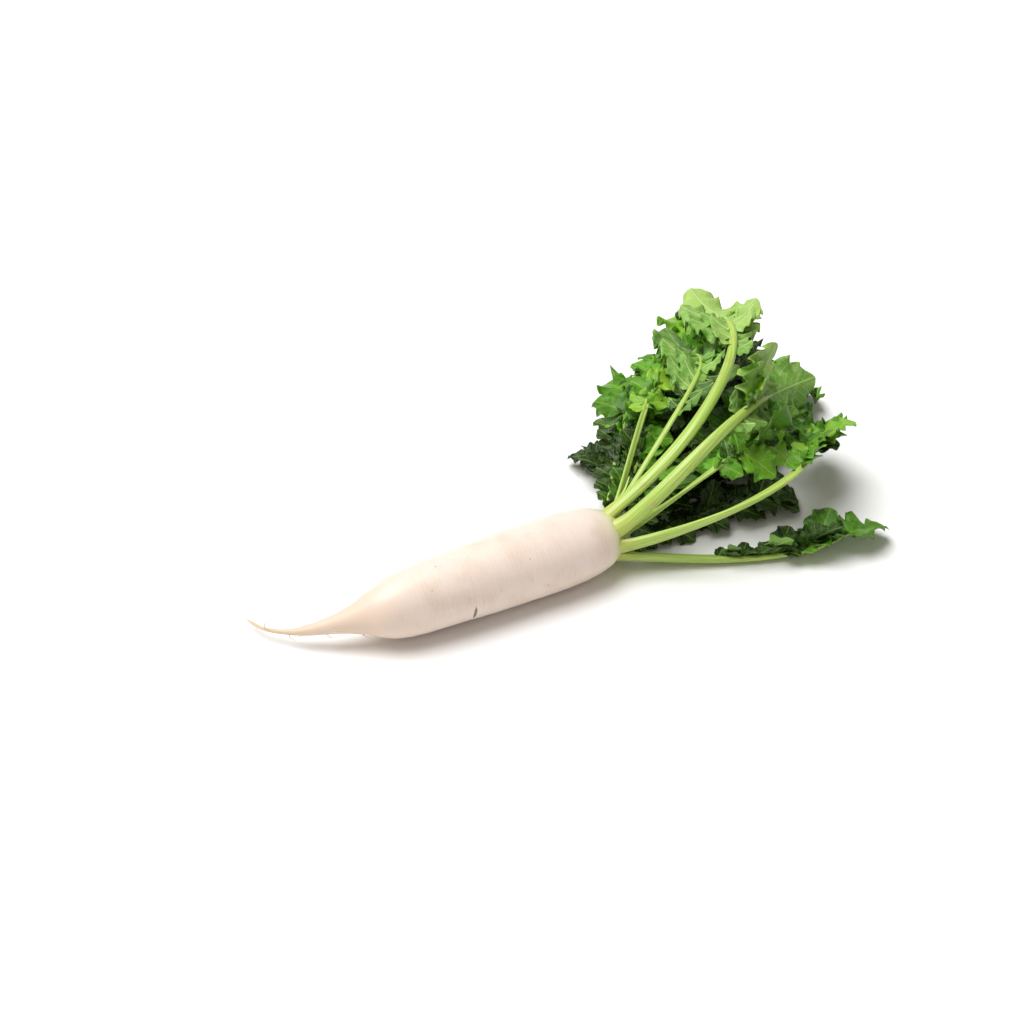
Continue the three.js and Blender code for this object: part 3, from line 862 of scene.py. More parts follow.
@dataclass(frozen=True)
class Leaflet:
    """One leaflet: where it leaves the midrib, how it leans, and its size."""

    distance: float
    side: int
    forward: float
    tilt: float
    length: float
    half_width: float
    roll: float
    phase: float

    THICKNESS = 0.5
    OUTLINE_FRONT = 0.8
    OUTLINE_FULLNESS = 0.55
    FOLD = 0.3
    DROOP = 0.3
    WAVE = 0.3
    SOFT_WAVE = 0.22
    SOFT_CREASE = 0.14
    WAVES = 1.5
    WAVE_SKEW = 0.3
    TOOTH = 0.1
    TOOTH_TURNS = 3.0
    SCALLOP = 1.5
    SCALLOP_SPACING = 8.5
    SCALLOP_ROUNDNESS = 0.7
    SCALLOP_LEVEL = 0.65
    SCALLOP_RISE = 4.0
    NARROWEST_SCALLOPED = 4.0
    RUFFLE = 0.25
    RUFFLE_SPACING = 15.0
    RUFFLE_SHIFT = 0.4
    RUFFLE_PHASE = 3.0
    RUFFLE_WAVES = ((0.7, 1.0, 0.0), (0.45, 1.7, 5.0))
    RUFFLE_END = 1.05
    RUFFLE_FADING = 3.0
    ROW_SPACING = 1.5
    ROW_LIMITS = (12, 44)
    COLUMN_SPACING = 3.2
    COLUMN_LIMITS = (3, 7)
    BLADE_TURN = (0.06, 0.975)

    def outline(self, share: np.ndarray) -> np.ndarray:
        """How wide the leaflet is at a share of its length, as a part of its half width."""
        return np.sin(math.pi * share ** self.OUTLINE_FRONT) ** self.OUTLINE_FULLNESS

    def points(
        self,
        axes: "LeafletAxes",
        share: np.ndarray,
        across: np.ndarray,
        half_width: np.ndarray,
        soft: bool,
    ) -> tuple[np.ndarray, np.ndarray]:
        """Points of the leaflet's middle sheet, folded along its vein, waved and hanging down.

        Args:
            axes: The directions that the leaflet lies along.
            share: How far out each point is, from 0 to 1.
            across: How far across, from -1 to 1.
            half_width: The half width there in millimetres.
            soft: Whether the fold is rounded and the wave eased, as the fine blade has them.

        Returns:
            The points, and each one's millimetres out and across.
        """
        wave = np.sin(2.0 * math.pi * (self.WAVES * share + self.phase + self.WAVE_SKEW * across))
        crease, steep = (self.SOFT_CREASE, self.SOFT_WAVE) if soft else (0.0, self.WAVE)
        height = (np.hypot(across, crease) - crease) * half_width * (self.FOLD + steep * wave)
        height = height - self.DROOP * self.length * share * share
        out, over = self.length * share, across * half_width
        points = axes.point + axes.out * out[..., None] + axes.across * over[..., None]
        return points + axes.upper * height[..., None], np.stack([out, over], axis=-1)

    def samples(self, axes: "LeafletAxes") -> np.ndarray:
        """The leaflet's points on a close grid, for the test of what it would cross.

        Args:
            axes: The directions that the leaflet lies along.

        Returns:
            The points, one to a row.
        """
        rows = math.ceil(self.length / SAMPLE_SPACING)
        columns = math.ceil(2.0 * self.half_width / SAMPLE_SPACING)
        share, across = np.meshgrid(
            (np.arange(rows) + 0.5) / rows, np.linspace(-1.0, 1.0, columns + 1), indexing="ij"
        )
        half_width = self.half_width * self.outline(share)
        return self.points(axes, share, across, half_width, False)[0].reshape(-1, 3)

    def blade(self, axes: "LeafletAxes") -> tuple[np.ndarray, np.ndarray, int, int]:
        """The fine blade: toothed, ruffled at its edge, and as thin as a real one.

        Args:
            axes: The directions that the leaflet lies along.

        Returns:
            The points of the upper and then the lower grid, each one's millimetres out and
            across, and the grid's rows and columns.
        """
        rows = int(np.clip(self.length / self.ROW_SPACING, *self.ROW_LIMITS))
        columns = 2 * int(np.clip(self.half_width / self.COLUMN_SPACING, *self.COLUMN_LIMITS)) + 1
        share = 0.5 - 0.5 * np.cos(math.pi * np.linspace(*self.BLADE_TURN, rows))
        share, across = np.meshgrid(share, np.linspace(-1.0, 1.0, columns), indexing="ij")
        half_width = self.half_width * self.outline(share)
        over = across * (1.0 + self.cut(share, across, half_width) * np.abs(across))
        middle, flat = self.points(axes, share, over, half_width, True)
        middle = middle + axes.upper * self.ruffle(share, across)[..., None]
        half = axes.upper * self.THICKNESS / 2.0
        points = np.concatenate([(middle + half).reshape(-1, 3), (middle - half).reshape(-1, 3)])
        return points, np.tile(flat.reshape(-1, 2), (2, 1)), rows, columns

    def cut(self, share: np.ndarray, across: np.ndarray, half_width: np.ndarray) -> np.ndarray:
        """How the edge stands out or in, with its large teeth and the scallops on them.

        Args:
            share: How far out each point is, from 0 to 1.
            across: How far across, from -1 to 1.
            half_width: The half width there in millimetres.

        Returns:
            What the cut adds at the edge, as a part of the half width.
        """
        teeth = self.TOOTH * np.sign(across) * np.cos(2.0 * math.pi * self.TOOTH_TURNS * share)
        scallop = np.abs(np.sin(math.pi * (share * self.length / self.SCALLOP_SPACING + self.phase)))
        scallop = self.SCALLOP * (scallop ** self.SCALLOP_ROUNDNESS - self.SCALLOP_LEVEL)
        scallop = scallop * smoothstep(share * self.SCALLOP_RISE)
        return teeth + scallop / np.maximum(half_width, self.NARROWEST_SCALLOPED)

    def ruffle(self, share: np.ndarray, across: np.ndarray) -> np.ndarray:
        """How far the ruffles lift each point, in millimetres: most at the edge, less at the tip."""
        turn = share * self.length / self.RUFFLE_SPACING
        turn = turn + self.RUFFLE_PHASE * self.phase + self.RUFFLE_SHIFT * np.sign(across)
        waves = sum(
            size * np.sin(2.0 * math.pi * rate * turn + shift * self.phase)
            for size, rate, shift in self.RUFFLE_WAVES
        )
        fading = smoothstep((self.RUFFLE_END - share) * self.RUFFLE_FADING)
        return self.RUFFLE * self.half_width * waves * fading * np.abs(across) ** 3


@dataclass(frozen=True)
class LeafletAxes:
    """Where a leaflet starts, and the directions out to its tip, across it and up from it."""

    point: np.ndarray
    out: np.ndarray
    across: np.ndarray
    upper: np.ndarray


@dataclass
class PlacedPiece:
    """What is placed already: its points, the sphere round them and the room that it keeps."""

    leaf: int
    samples: np.ndarray
    room: float
    centre: np.ndarray = field(init=False)
    radius: float = field(init=False)

    def __post_init__(self) -> None:
        """Works out the sphere."""
        self.centre = (self.samples.min(axis=0) + self.samples.max(axis=0)) / 2.0
        self.radius = float(np.linalg.norm(self.samples - self.centre, axis=1).max())

    def touches(self, other: "PlacedPiece") -> bool:
        """Whether the other piece comes into the room that this one keeps."""
        reach = self.radius + other.radius + self.room
        if np.linalg.norm(self.centre - other.centre) > reach:
            return False
        gaps = self.samples[:, None, :] - other.samples[None, :, :]
        return bool((np.einsum("ijk,ijk->ij", gaps, gaps).min()) <= self.room * self.room)


@dataclass(frozen=True)
class StalkSeat:
    """A stalk's place on the crown and the points that steer its arching line."""

    name: str
    seat: float
    ring: float
    width: float
    splay: float
    path: tuple[tuple[float, float, float], ...]
    face: tuple[float, float, float] | None = None

    CROWN_X = 86.0
    CROWN_Z = 36.6
    LEAD = 40.0
    FIT_STEPS = 64
    FINE_STEPS = 256
    FACE_SHARE = 0.75
    FACE_TURN_END = 0.7
    TAPER = 0.42
    END_TAPER = 0.33
    DEPTH = 0.8
    UPPER_FACE_DEPTH = 0.45
    SEAT_DEPTH = 0.66
    SEAT_END = 0.1
    SIDES = 36
    ROW_SPACING = 3.0
    CLASP = 0.16
    CLASP_LENGTH = 26.0
    END_START = 0.86
    END_THINNING = 0.75
    RIBS = 11
    RIB_HEIGHT = 0.03
    UPPER_RIB_SHARE = 0.3
    RIBBED_BELOW = 0.1
    GROOVE = 0.16
    GROOVE_WIDTH = 0.4
    TORN_START = 0.7

    def line(self, steps: int) -> Line:
        """The stalk's line, with the frames that turn with it.

        Args:
            steps: The number of steps along the line.

        Returns:
            The line.
        """
        radians = math.radians(self.seat)
        out = np.array([0.0, math.cos(radians), math.sin(radians)])
        seat = np.array([self.CROWN_X, 0.0, self.CROWN_Z]) + out * self.ring
        lead = seat + out * self.splay + np.array([self.LEAD, 0.0, 0.0])
        controls = np.array([seat, lead, *self.path], float)
        point, tangent = bezier(controls, np.linspace(0.0, 1.0, steps + 1))
        upper = np.empty_like(point)
        direction = -out
        for i, along in enumerate(tangent):
            direction = unit(direction - along * direction.dot(along))
            upper[i] = direction
        reaches = np.linalg.norm(np.diff(point, axis=0), axis=1)
        return Line(point, tangent, self.facing(tangent, upper), np.concatenate([[0.0], np.cumsum(reaches)]))

    def facing(self, tangent: np.ndarray, upper: np.ndarray) -> np.ndarray:
        """The upper directions, turned step by step until the blade looks the right way.

        Args:
            tangent: The line's direction at each step.
            upper: The upper direction at each step, as it grows from the crown.

        Returns:
            The turned upper directions.
        """
        if self.face is None:
            return upper
        steps = len(tangent) - 1
        middle = round(steps * self.FACE_SHARE)
        wanted = np.array(self.face, float)
        wanted = unit(wanted - tangent[middle] * wanted.dot(tangent[middle]))
        angle = math.atan2(
            np.cross(upper[middle], wanted).dot(tangent[middle]), upper[middle].dot(wanted)
        )
        part = smoothstep(np.arange(steps + 1) / (steps * self.FACE_TURN_END))
        return turned(upper, tangent, angle * part[:, None])

    def stem(
        self, line: Line, reach: float, tone: float, jag: float = 0.0
    ) -> tuple[np.ndarray, list[tuple[int, ...]], np.ndarray]:
        """The fine stalk: ribbed below and grooved above, and widest where it clasps the crown.

        Args:
            line: The stalk's line.
            reach: How far along the line the stalk runs.
            tone: How deep its green is.
            jag: How ragged its end is, in millimetres, where the leaf has broken off.

        Returns:
            The points, the faces, and the mark stem for each point.
        """
        rows = math.ceil(reach / self.ROW_SPACING) + 1
        turn = np.arange(self.SIDES) / self.SIDES * 2.0 * math.pi
        share = np.linspace(0.0, 1.0, rows)[:, None]
        torn = jag / 2.0 * np.sin(3.0 * turn + 1.0) * np.cos(5.0 * turn)
        torn = torn * smoothstep((share - self.TORN_START) / (1.0 - self.TORN_START))
        distance = np.clip(share * (reach - jag * vary(3, 1, 1) / 2.0) + torn, 0.0, line.length)
        point, _, upper, side = line.at(distance)
        along = distance / line.length
        width = self.width * (1.0 - self.TAPER * along - self.END_TAPER * along * along)
        width = width * (1.0 + self.CLASP * (1.0 - smoothstep(distance / self.CLASP_LENGTH)))
        if not jag:
            ending = smoothstep((share - self.END_START) / (1.0 - self.END_START))
            width = width * (1.0 - self.END_THINNING * ending)
        seated = smoothstep(share / self.SEAT_END)
        depth = width * (self.SEAT_DEPTH + (self.DEPTH - self.SEAT_DEPTH) * seated)
        across, height = np.cos(turn)[None, :], np.sin(turn)[None, :]
        height = np.where(height > 0.0, height * self.UPPER_FACE_DEPTH, height)
        rib = np.where(height < self.RIBBED_BELOW, 1.0, self.UPPER_RIB_SHARE)
        rib = 1.0 + self.RIB_HEIGHT * np.cos(self.RIBS * turn)[None, :] * rib
        groove = self.GROOVE * np.exp(-((across / self.GROOVE_WIDTH) ** 2)) * (height > 0.0)
        points = point + side * (across * rib * width / 2.0)[..., None]
        points = points + upper * ((height * rib - groove) * depth / 2.0)[..., None]
        around = turn[None, :] * width / 2.0
        marks = np.stack([distance, around, np.full_like(distance, tone)], axis=-1)
        return points.reshape(-1, 3), tube_faces(rows, self.SIDES), marks.reshape(-1, 3)


@dataclass(frozen=True)
class Leaf(StalkSeat):
    """One leaf: its stalk, with the midrib, and the leaflets along it."""

    rise: float = 12.0
    leaflet: float = 54.0
    bare: float = 0.3
    tone: Tone = Tone.FRESH
    filled: bool = False

    LEAFLET_SPACING = 37.0
    FEWEST_PAIRS = 3
    LAST_PAIR_GAP = 8.0
    SIDE_OFFSET = 0.4
    FIRST_SIZE = 0.45
    SIZE_GAIN = 0.75
    SIZE_LOSS = 0.2
    SIZE_SWING = 0.12
    HALF_WIDTH_RATIO = 0.42
    WIDTH_SWING = 0.1
    FIRST_FORWARD = 66.0
    FORWARD_CLOSING = 18.0
    FORWARD_SWING = 7.0
    TILT_SWING = 14.0
    SHINGLE_ROLL = 14.0
    ROLL_SWING = 7.0
    TERMINAL_RATIO = 1.2
    TERMINAL_HALF_WIDTH_RATIO = 0.45
    TERMINAL_OVERHANG = 0.75
    TERMINAL_ROOT = 4.0
    TERMINAL_SWING = 4.0
    TERMINAL_ROLL_SWING = 8.0
    MIDRIB_END = 0.6

    # The wings of blade along the midrib
    WING_ROW_SPACING = 2.5
    WING_COLUMNS = 5
    WING_WIDTH = 0.24
    WING_NARROWEST = 0.4
    WING_WAVE_LENGTH = 6.3
    WING_WAVE_SHARE = 0.45
    WING_START_RISE = 2.0
    WING_END_FALL = 6.0
    WING_LIFT = 0.25
    WING_LIFT_LENGTH = 4.1
    WING_VEIN_GAP = 4.0

    # The small leaflets between the large ones, and on a filled leaf down the stalk as well
    INFILL_START = 0.08
    INFILL_BARE_SHARE = 0.9
    INFILL_SPACING = 15.0
    INFILL_STAGGER = 0.3
    INFILL_FIRST_KEY = 100
    INFILL_SIZE = 0.55
    INFILL_GROWTH = (0.6, 0.5)
    INFILL_SIZE_SWING = 0.25
    INFILL_HALF_WIDTH_RATIO = 0.46
    INFILL_FORWARD = 62.0
    INFILL_FORWARD_SWING = 16.0
    INFILL_LOWER_RISE = 18.0
    INFILL_TILT_SWING = 26.0
    INFILL_ROLL_SWING = 18.0

    def reach(self, line: Line) -> float:
        """How far along the line the midrib runs."""
        return line.length - self.leaflet * self.TERMINAL_RATIO * self.MIDRIB_END

    def leaflets(self, number: int, line: Line) -> list[Leaflet]:
        """The leaflets: the end one, and pairs that grow larger towards the end.

        Args:
            number: The leaf's number in the bunch.
            line: The leaf's line.

        Returns:
            The leaflets, from the end of the leaf to its first pair.
        """
        terminal = self.leaflet * self.TERMINAL_RATIO
        reach = line.length - terminal * self.TERMINAL_OVERHANG
        start = self.bare * line.length
        pairs = max(round((reach - start) / self.LEAFLET_SPACING), self.FEWEST_PAIRS)
        step = (reach - start - self.LAST_PAIR_GAP) / pairs
        found = [Leaflet(
            distance=reach - self.TERMINAL_ROOT, side=1, forward=self.TERMINAL_SWING * swing(number, 0, 1),
            tilt=0.0, length=terminal, half_width=terminal * self.TERMINAL_HALF_WIDTH_RATIO,
            roll=self.TERMINAL_ROLL_SWING * swing(number, 0, 2), phase=vary(number, 0, 3),
        )]
        for pair in range(pairs - 1, -1, -1):
            order = pair / (pairs - 1)
            for side in (1, -1):
                place = 2 * pair + (1 if side > 0 else 2)
                offset = 0.0 if side > 0 else self.SIDE_OFFSET
                growth = self.FIRST_SIZE + self.SIZE_GAIN * order - self.SIZE_LOSS * order * order
                length = self.leaflet * growth * (1.0 + self.SIZE_SWING * swing(number, place, 1))
                width = 1.0 + self.WIDTH_SWING * swing(number, place, 4)
                found.append(Leaflet(
                    distance=start + step * (pair + offset),
                    side=side,
                    forward=(
                        self.FIRST_FORWARD - self.FORWARD_CLOSING * order
                        + self.FORWARD_SWING * swing(number, place, 2)
                    ),
                    tilt=self.rise + self.TILT_SWING * swing(number, place, 3),
                    length=length,
                    half_width=length * self.HALF_WIDTH_RATIO * width,
                    roll=side * self.SHINGLE_ROLL + self.ROLL_SWING * swing(number, place, 5),
                    phase=vary(number, place, 6),
                ))
        return found

    def infill(self, number: int, line: Line) -> list[Leaflet]:
        """The small leaflets between the larger ones, and down the stalk where it isn't bare.

        Args:
            number: The leaf's number in the bunch.
            line: The leaf's line.

        Returns:
            The small leaflets, from the stalk to the end of the leaf.
        """
        reach = line.length - self.leaflet * self.TERMINAL_RATIO
        start = line.length * (self.INFILL_START if self.filled else self.bare * self.INFILL_BARE_SHARE)
        count = int((reach - start) / self.INFILL_SPACING)
        found = []
        for place in range(count):
            order = (place + 0.5) / count
            growth = self.INFILL_GROWTH[0] + self.INFILL_GROWTH[1] * order
            for side in (1, -1):
                key = self.INFILL_FIRST_KEY + 2 * place + (side > 0)
                size = 1.0 + self.INFILL_SIZE_SWING * swing(number, key, 1)
                length = self.leaflet * self.INFILL_SIZE * growth * size
                stagger = 0.5 + self.INFILL_STAGGER * side
                found.append(Leaflet(
                    distance=start + (reach - start) * (place + stagger) / count,
                    side=side,
                    forward=self.INFILL_FORWARD + self.INFILL_FORWARD_SWING * swing(number, key, 2),
                    tilt=(
                        self.rise - self.INFILL_LOWER_RISE
                        + self.INFILL_TILT_SWING * swing(number, key, 3)
                    ),
                    length=length,
                    half_width=length * self.INFILL_HALF_WIDTH_RATIO,
                    roll=side * self.SHINGLE_ROLL + self.INFILL_ROLL_SWING * swing(number, key, 5),
                    phase=vary(number, key, 6),
                ))
        return found

    def wing(self, line: Line, side: int, number: int) -> tuple[np.ndarray, np.ndarray, int, int]:
        """The narrow strip of blade that joins the leaflets along one side of the midrib.

        Args:
            line: The leaf's line.
            side: 1 for the left side of the midrib and -1 for the right one.
            number: The leaf's number in the bunch.

        Returns:
            The points of the upper and then the lower grid, each one's millimetres out and
            across, and the grid's rows and columns.
        """
        start, end = self.bare * line.length, self.reach(line)
        rows = math.ceil((end - start) / self.WING_ROW_SPACING) + 1
        distance, across = np.meshgrid(
            np.linspace(start, end, rows), np.linspace(0.0, 1.0, self.WING_COLUMNS)[::side], indexing="ij"
        )
        share = (distance - start) / (end - start)
        wave = 0.5 + 0.5 * np.sin(distance / self.WING_WAVE_LENGTH + side + 6.0 * vary(number, 0, 8))
        width = self.leaflet * self.WING_WIDTH * (1.0 - self.WING_WAVE_SHARE * (1.0 - wave))
        width = width * smoothstep(share * self.WING_START_RISE)
        width = width * smoothstep((1.0 - share) * self.WING_END_FALL)
        width = np.maximum(width, self.WING_NARROWEST)
        point, tangent, upper, outward = line.at(distance)
        tilt = math.radians(self.rise)
        outward, upper = (
            turned(outward, tangent, -side * tilt), turned(upper, tangent, -side * tilt)
        )
        over = side * across * width
        lift = self.WING_LIFT * width * across * across
        lift = lift * np.sin(distance / self.WING_LIFT_LENGTH + 2.0 * side)
        middle = point + outward * over[..., None] + upper * lift[..., None]
        half = upper * Leaflet.THICKNESS / 2.0
        points = np.concatenate([(middle + half).reshape(-1, 3), (middle - half).reshape(-1, 3)])
        flat = np.stack([distance - start, self.WING_VEIN_GAP + over * side], axis=-1)
        return points, np.tile(flat.reshape(-1, 2), (2, 1)), rows, self.WING_COLUMNS

    def axes(self, leaflet: Leaflet, line: Line, extra_tilt: float) -> LeafletAxes:
        """The directions that a leaflet lies along, once it is tilted, swept forward and rolled.

        Args:
            leaflet: The leaflet.
            line: The leaf's line.
            extra_tilt: The degrees by which it is bent clear of another leaf.

        Returns:
            The directions, and the point where it leaves the midrib.
        """
        point, tangent, upper, side = line.at(leaflet.distance)
        tilt = -math.radians(leaflet.tilt + extra_tilt) * leaflet.side
        upper, side = turned(upper, tangent, tilt), turned(side, tangent, tilt)
        forward = -math.radians(leaflet.forward) * leaflet.side
        out, across = turned(tangent, upper, forward), turned(side, upper, forward)
        roll = math.radians(leaflet.roll)
        return LeafletAxes(point, out, turned(across, out, roll), turned(upper, out, roll))


@dataclass
class LeafBunch:
    """All the leaves on the crown, with their leaflets bent clear of each other."""

    leaves: tuple[Leaf, ...]
    stalk_clearance: float = 3.6
    leaflet_clearance: float = 5.4
    infill_clearance: float = 3.0
    fitted: list[list[tuple[Leaflet, LeafletAxes]]] = field(default_factory=list)
    inner: list[int] = field(default_factory=list)
    lines: list[Line] = field(default_factory=list)
    placed: list[PlacedPiece] = field(default_factory=list)

    # How much painted shade deepens the green near the crown, near the floor and on the small inner leaflets,
    # where the bunch shades itself
    CROWN_PAINTED_SHADE = 0.3
    CROWN_PAINTED_SHADE_REACH = 230.0
    FLOOR_PAINTED_SHADE = 0.35
    FLOOR_PAINTED_SHADE_HEIGHT = 85.0
    INNER_PAINTED_SHADE = 0.12
    TONE_SWING = 0.32

    # The step between the places of two leaflets in the materials' noises, in millimetres
    PATTERN_STEP = 40.0

    def grow(self) -> None:
        """Places every stalk, then leaf by leaf the leaflets, then the small ones between."""
        self.lines = [leaf.line(leaf.FIT_STEPS) for leaf in self.leaves]
        for number, (leaf, line) in enumerate(zip(self.leaves, self.lines)):
            reach = leaf.reach(line)
            steps = math.ceil(reach / SAMPLE_SPACING)
            samples = line.at(np.linspace(0.0, reach, steps + 1))[0]
            self.placed.append(PlacedPiece(number, samples, self.stalk_clearance + leaf.width / 2.0))
            self.fitted.append([])
        for number, (leaf, line) in enumerate(zip(self.leaves, self.lines)):
            for leaflet in leaf.leaflets(number, line):
                self.fit(number, leaflet, self.leaflet_clearance)
        for number, (leaf, line) in enumerate(zip(self.leaves, self.lines)):
            large = len(self.fitted[number])
            for leaflet in leaf.infill(number, line):
                self.fit(number, leaflet, self.infill_clearance)
            self.inner.append(len(self.fitted[number]) - large)

    def fit(self, number: int, leaflet: Leaflet, room: float) -> None:
        """Bends a leaflet clear of what is placed, or shortens it, or leaves it out.

        Args:
            number: The leaf's number in the bunch.
            leaflet: The leaflet as it would grow with all the room it needs.
            room: The room in millimetres that it keeps round it.
        """
        for scale in CLEAR_SCALES:
            for extra_tilt in CLEAR_TILTS:
                tried = Leaflet(**{
                    **leaflet.__dict__,
                    "length": leaflet.length * scale,
                    "half_width": leaflet.half_width * scale,
                })
                axes = self.leaves[number].axes(tried, self.lines[number], extra_tilt)
                samples = tried.samples(axes)
                if samples[:, 2].min() < GROUND_CLEARANCE:
                    continue
                piece = PlacedPiece(number, samples, room)
                others = (other for other in self.placed if other.leaf != number)
                if not any(self.too_close(piece, other) for other in others):
                    self.placed.append(piece)
                    self.fitted[number].append((tried, axes))
                    return

    def too_close(self, piece: PlacedPiece, other: PlacedPiece) -> bool:
        """Whether a new piece comes into the smaller of the two rooms."""
        room = min(piece.room, other.room) if piece.room < self.leaflet_clearance else other.room
        return PlacedPiece(other.leaf, other.samples, room).touches(piece)

    def build(self) -> None:
        """Makes each leaf's two pieces, its stalk and its blade, and dresses them."""
        stalk = StalkFinish().material()
        blades = [side.value.material() for side in BladeSide]
        for number, leaf in enumerate(self.leaves):
            line = leaf.line(leaf.FINE_STEPS)
            points, faces, marks = leaf.stem(line, leaf.reach(line), leaf.tone.value)
            piece = make_piece(f"{leaf.name}_stalk", points, faces, [stalk], marks={"stem": marks})
            settle(piece, "leaf_stalk", leaf.name)
            settle(self.blade(number, line, blades), "leaf", leaf.name)

    def blade(
        self, number: int, line: Line, materials: list[bpy.types.Material]
    ) -> bpy.types.Object:
        """Makes all the leaflets of one leaf, and the wings of its midrib, in one mesh.

        Args:
            number: The leaf's number in the bunch.
            line: The leaf's fine line.
            materials: The materials of the blade's upper and lower sides.

        Returns:
            The new object.
        """
        leaf = self.leaves[number]
        points, faces, sides, marks, tones = [], [], [], [], []
        first = 0
        sheets = [leaf.wing(line, side, number) for side in (1, -1)]
        sheets.extend(leaflet.blade(axes) for leaflet, axes in self.fitted[number])
        for place, (grid, flat, rows, columns) in enumerate(sheets):
            made, under = blade_faces(rows, columns, first)
            grid = above_floor(grid)
            points.append(grid)
            faces.extend(made)
            sides.extend(under)
            own = np.full((len(grid), 1), self.PATTERN_STEP * place)
            marks.append(np.concatenate([flat, own], axis=1))
            away = np.linalg.norm(grid[0] - line.point[0])
            shade = leaf.tone.value + self.TONE_SWING * swing(number, place, 9)
            # Painted shade: the green is darkened near the crown, near the floor and on the inner leaflets,
            # where the bunch's own shade falls on them
            shade += self.CROWN_PAINTED_SHADE * (1.0 - smoothstep(away / self.CROWN_PAINTED_SHADE_REACH))
            shade += self.FLOOR_PAINTED_SHADE * (1.0 - smoothstep(grid[:, 2].mean() / self.FLOOR_PAINTED_SHADE_HEIGHT))
            shade += self.INNER_PAINTED_SHADE * (place >= len(sheets) - self.inner[number])
            tones.append(np.full(len(grid), shade))
            first += len(grid)
        return make_piece(
            f"{leaf.name}_blade", np.concatenate(points), faces, materials, np.array(sides),
            {"blade": np.concatenate(marks), "tone": np.concatenate(tones)},
        )


def above_floor(grid: np.ndarray) -> np.ndarray:
    """A blade's points, both sheets lifted where either would sink into the floor.

    Args:
        grid: The points of the upper and then the lower sheet, one to a row.

    Returns:
        The lifted points.
    """
    lowest = grid[:, 2].reshape(2, -1).min(axis=0)
    lift = np.maximum(LEAF_FLOOR_GAP - lowest, 0.0)
    return grid + np.array([0.0, 0.0, 1.0]) * np.tile(lift, 2)[:, None]


def settle(piece: bpy.types.Object, slot: str, *nodes: str) -> None:
    """Makes a piece ride on the root's body and stand for the solids that it replaces.

    Args:
        piece: The piece.
        slot: The record's material slot for its finish. Not used.
        *nodes: The solids that it replaces, or none.
    """
    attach(piece, BODY)
    if nodes:
        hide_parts(*nodes)
    LOG.info("%s: %d faces", piece.name, len(piece.data.polygons))


OUTER_RING = 19.5
INNER_RING = 9.5

# The tone of each leaf is partly painted shade: the top leaves are bright, and the back and low ones deep
# where the bunch shades them
LEAVES = (
    Leaf("leaf_top_arch", 76, OUTER_RING, 16.5, 16, ((260, -25, 180), (395, 210, 145), (305, 205, 100)),
         (0.2, 0.5, -0.8), 20, 58, 0.7, Tone.BRIGHT),
    Leaf("leaf_top_right", 130, OUTER_RING, 16.5, 14, ((200, -50, 200), (290, 35, 120), (340, 50, 102)),
         (0.1, 0.9, -0.5), 14, 62, 0.6, Tone.BRIGHT),
    Leaf("leaf_right", 182, OUTER_RING, 15, 10, ((210, -130, 130), (345, -32, 62), (370, 55, 62)),
         (-0.4, -0.1, 0.9), 52, 54, 0.66, Tone.FRESH),
    Leaf("leaf_low_right", 234, OUTER_RING, 18, 9, ((230, -85, -5), (310, -105, 10), (350, -88, 30)),
         (-0.1, 0.3, 0.95), 66, 44, 0.42, Tone.FRESH),
    Leaf("leaf_right_slim", 160, INNER_RING, 9, 8, ((230, -25, 140), (270, -10, 90), (330, 30, 80)),
         (-0.2, -0.7, 0.7), 12, 54, 0.5, Tone.FRESH),
    Leaf("leaf_inner_left", 48, INNER_RING, 8, 14, ((210, 55, 175), (335, 125, 115), (260, 195, 90)),
         (0.2, 0.5, -0.8), 16, 54, 0.48, Tone.FRESH),
    Leaf("leaf_left_slim", 358, INNER_RING, 8.5, 9, ((185, 120, 145), (280, 165, 80), (285, 240, 70)),
         (-0.2, -0.6, 0.8), 12, 56, 0.52, Tone.BRIGHT),
    Leaf("leaf_left", 347, OUTER_RING, 9, 14, ((170, 140, 90), (235, 180, 55), (260, 230, 45)),
         (-0.4, -0.4, 0.9), 12, 50, 0.3, Tone.FRESH, filled=True),
    Leaf("leaf_inner_right", 210, INNER_RING, 7.5, 6, ((280, 95, 90), (385, 95, 40), (435, 160, 30)),
         (-0.1, -0.4, 0.9), 12, 58, 0.16, Tone.FRESH, filled=True),
    Leaf("leaf_back_left", 310, INNER_RING, 7.5, 8, ((225, 170, 125), (365, 235, 55), (395, 305, 45)),
         (-0.3, -0.3, 0.9), 12, 60, 0.24, Tone.FRESH, filled=True),
    Leaf("leaf_back", 260, INNER_RING, 7.5, 7, ((270, 170, 80), (410, 210, 20), (460, 265, 15)),
         (-0.1, -0.3, 1), 12, 58, 0.16, Tone.DEEP, filled=True),
    Leaf("leaf_back_right", 294, OUTER_RING, 8, 9, ((270, 90, 50), (375, 105, 5), (440, 125, 10)),
         (0, -0.2, 1), 12, 56, 0.14, Tone.DEEP, filled=True),
    Leaf("leaf_low_left", 320, OUTER_RING, 8, 12, ((140, 110, 50), (165, 145, 10), (170, 190, 10)),
         (0, -0.2, 1), 12, 38, 0.4, Tone.DEEP),
    Leaf("leaf_low_middle", 266, OUTER_RING, 8, 7, ((230, 35, 10), (295, 5, 5), (355, 10, 10)),
         (0, -0.2, 1), 12, 50, 0.18, Tone.DEEP, filled=True),
)

STUB = StalkSeat("stalk_stub", 36, OUTER_RING, 8, 12, ((126, 31, 60), (131, 35, 64), (136, 39, 68)))


@dataclass
class BrokenStalk:
    """The stump of a leaf that has broken off, with its ragged end."""

    seat: StalkSeat
    jag: float = 3.0

    def build(self) -> None:
        """Makes the stump and dresses it."""
        line = self.seat.line(self.seat.FINE_STEPS)
        points, faces, marks = self.seat.stem(line, line.length, Tone.FRESH.value, self.jag)
        piece = make_piece(
            "stalk_stub_torn", points, faces, [StalkFinish().material()], marks={"stem": marks}
        )
        settle(piece, "leaf_stalk", self.seat.name)


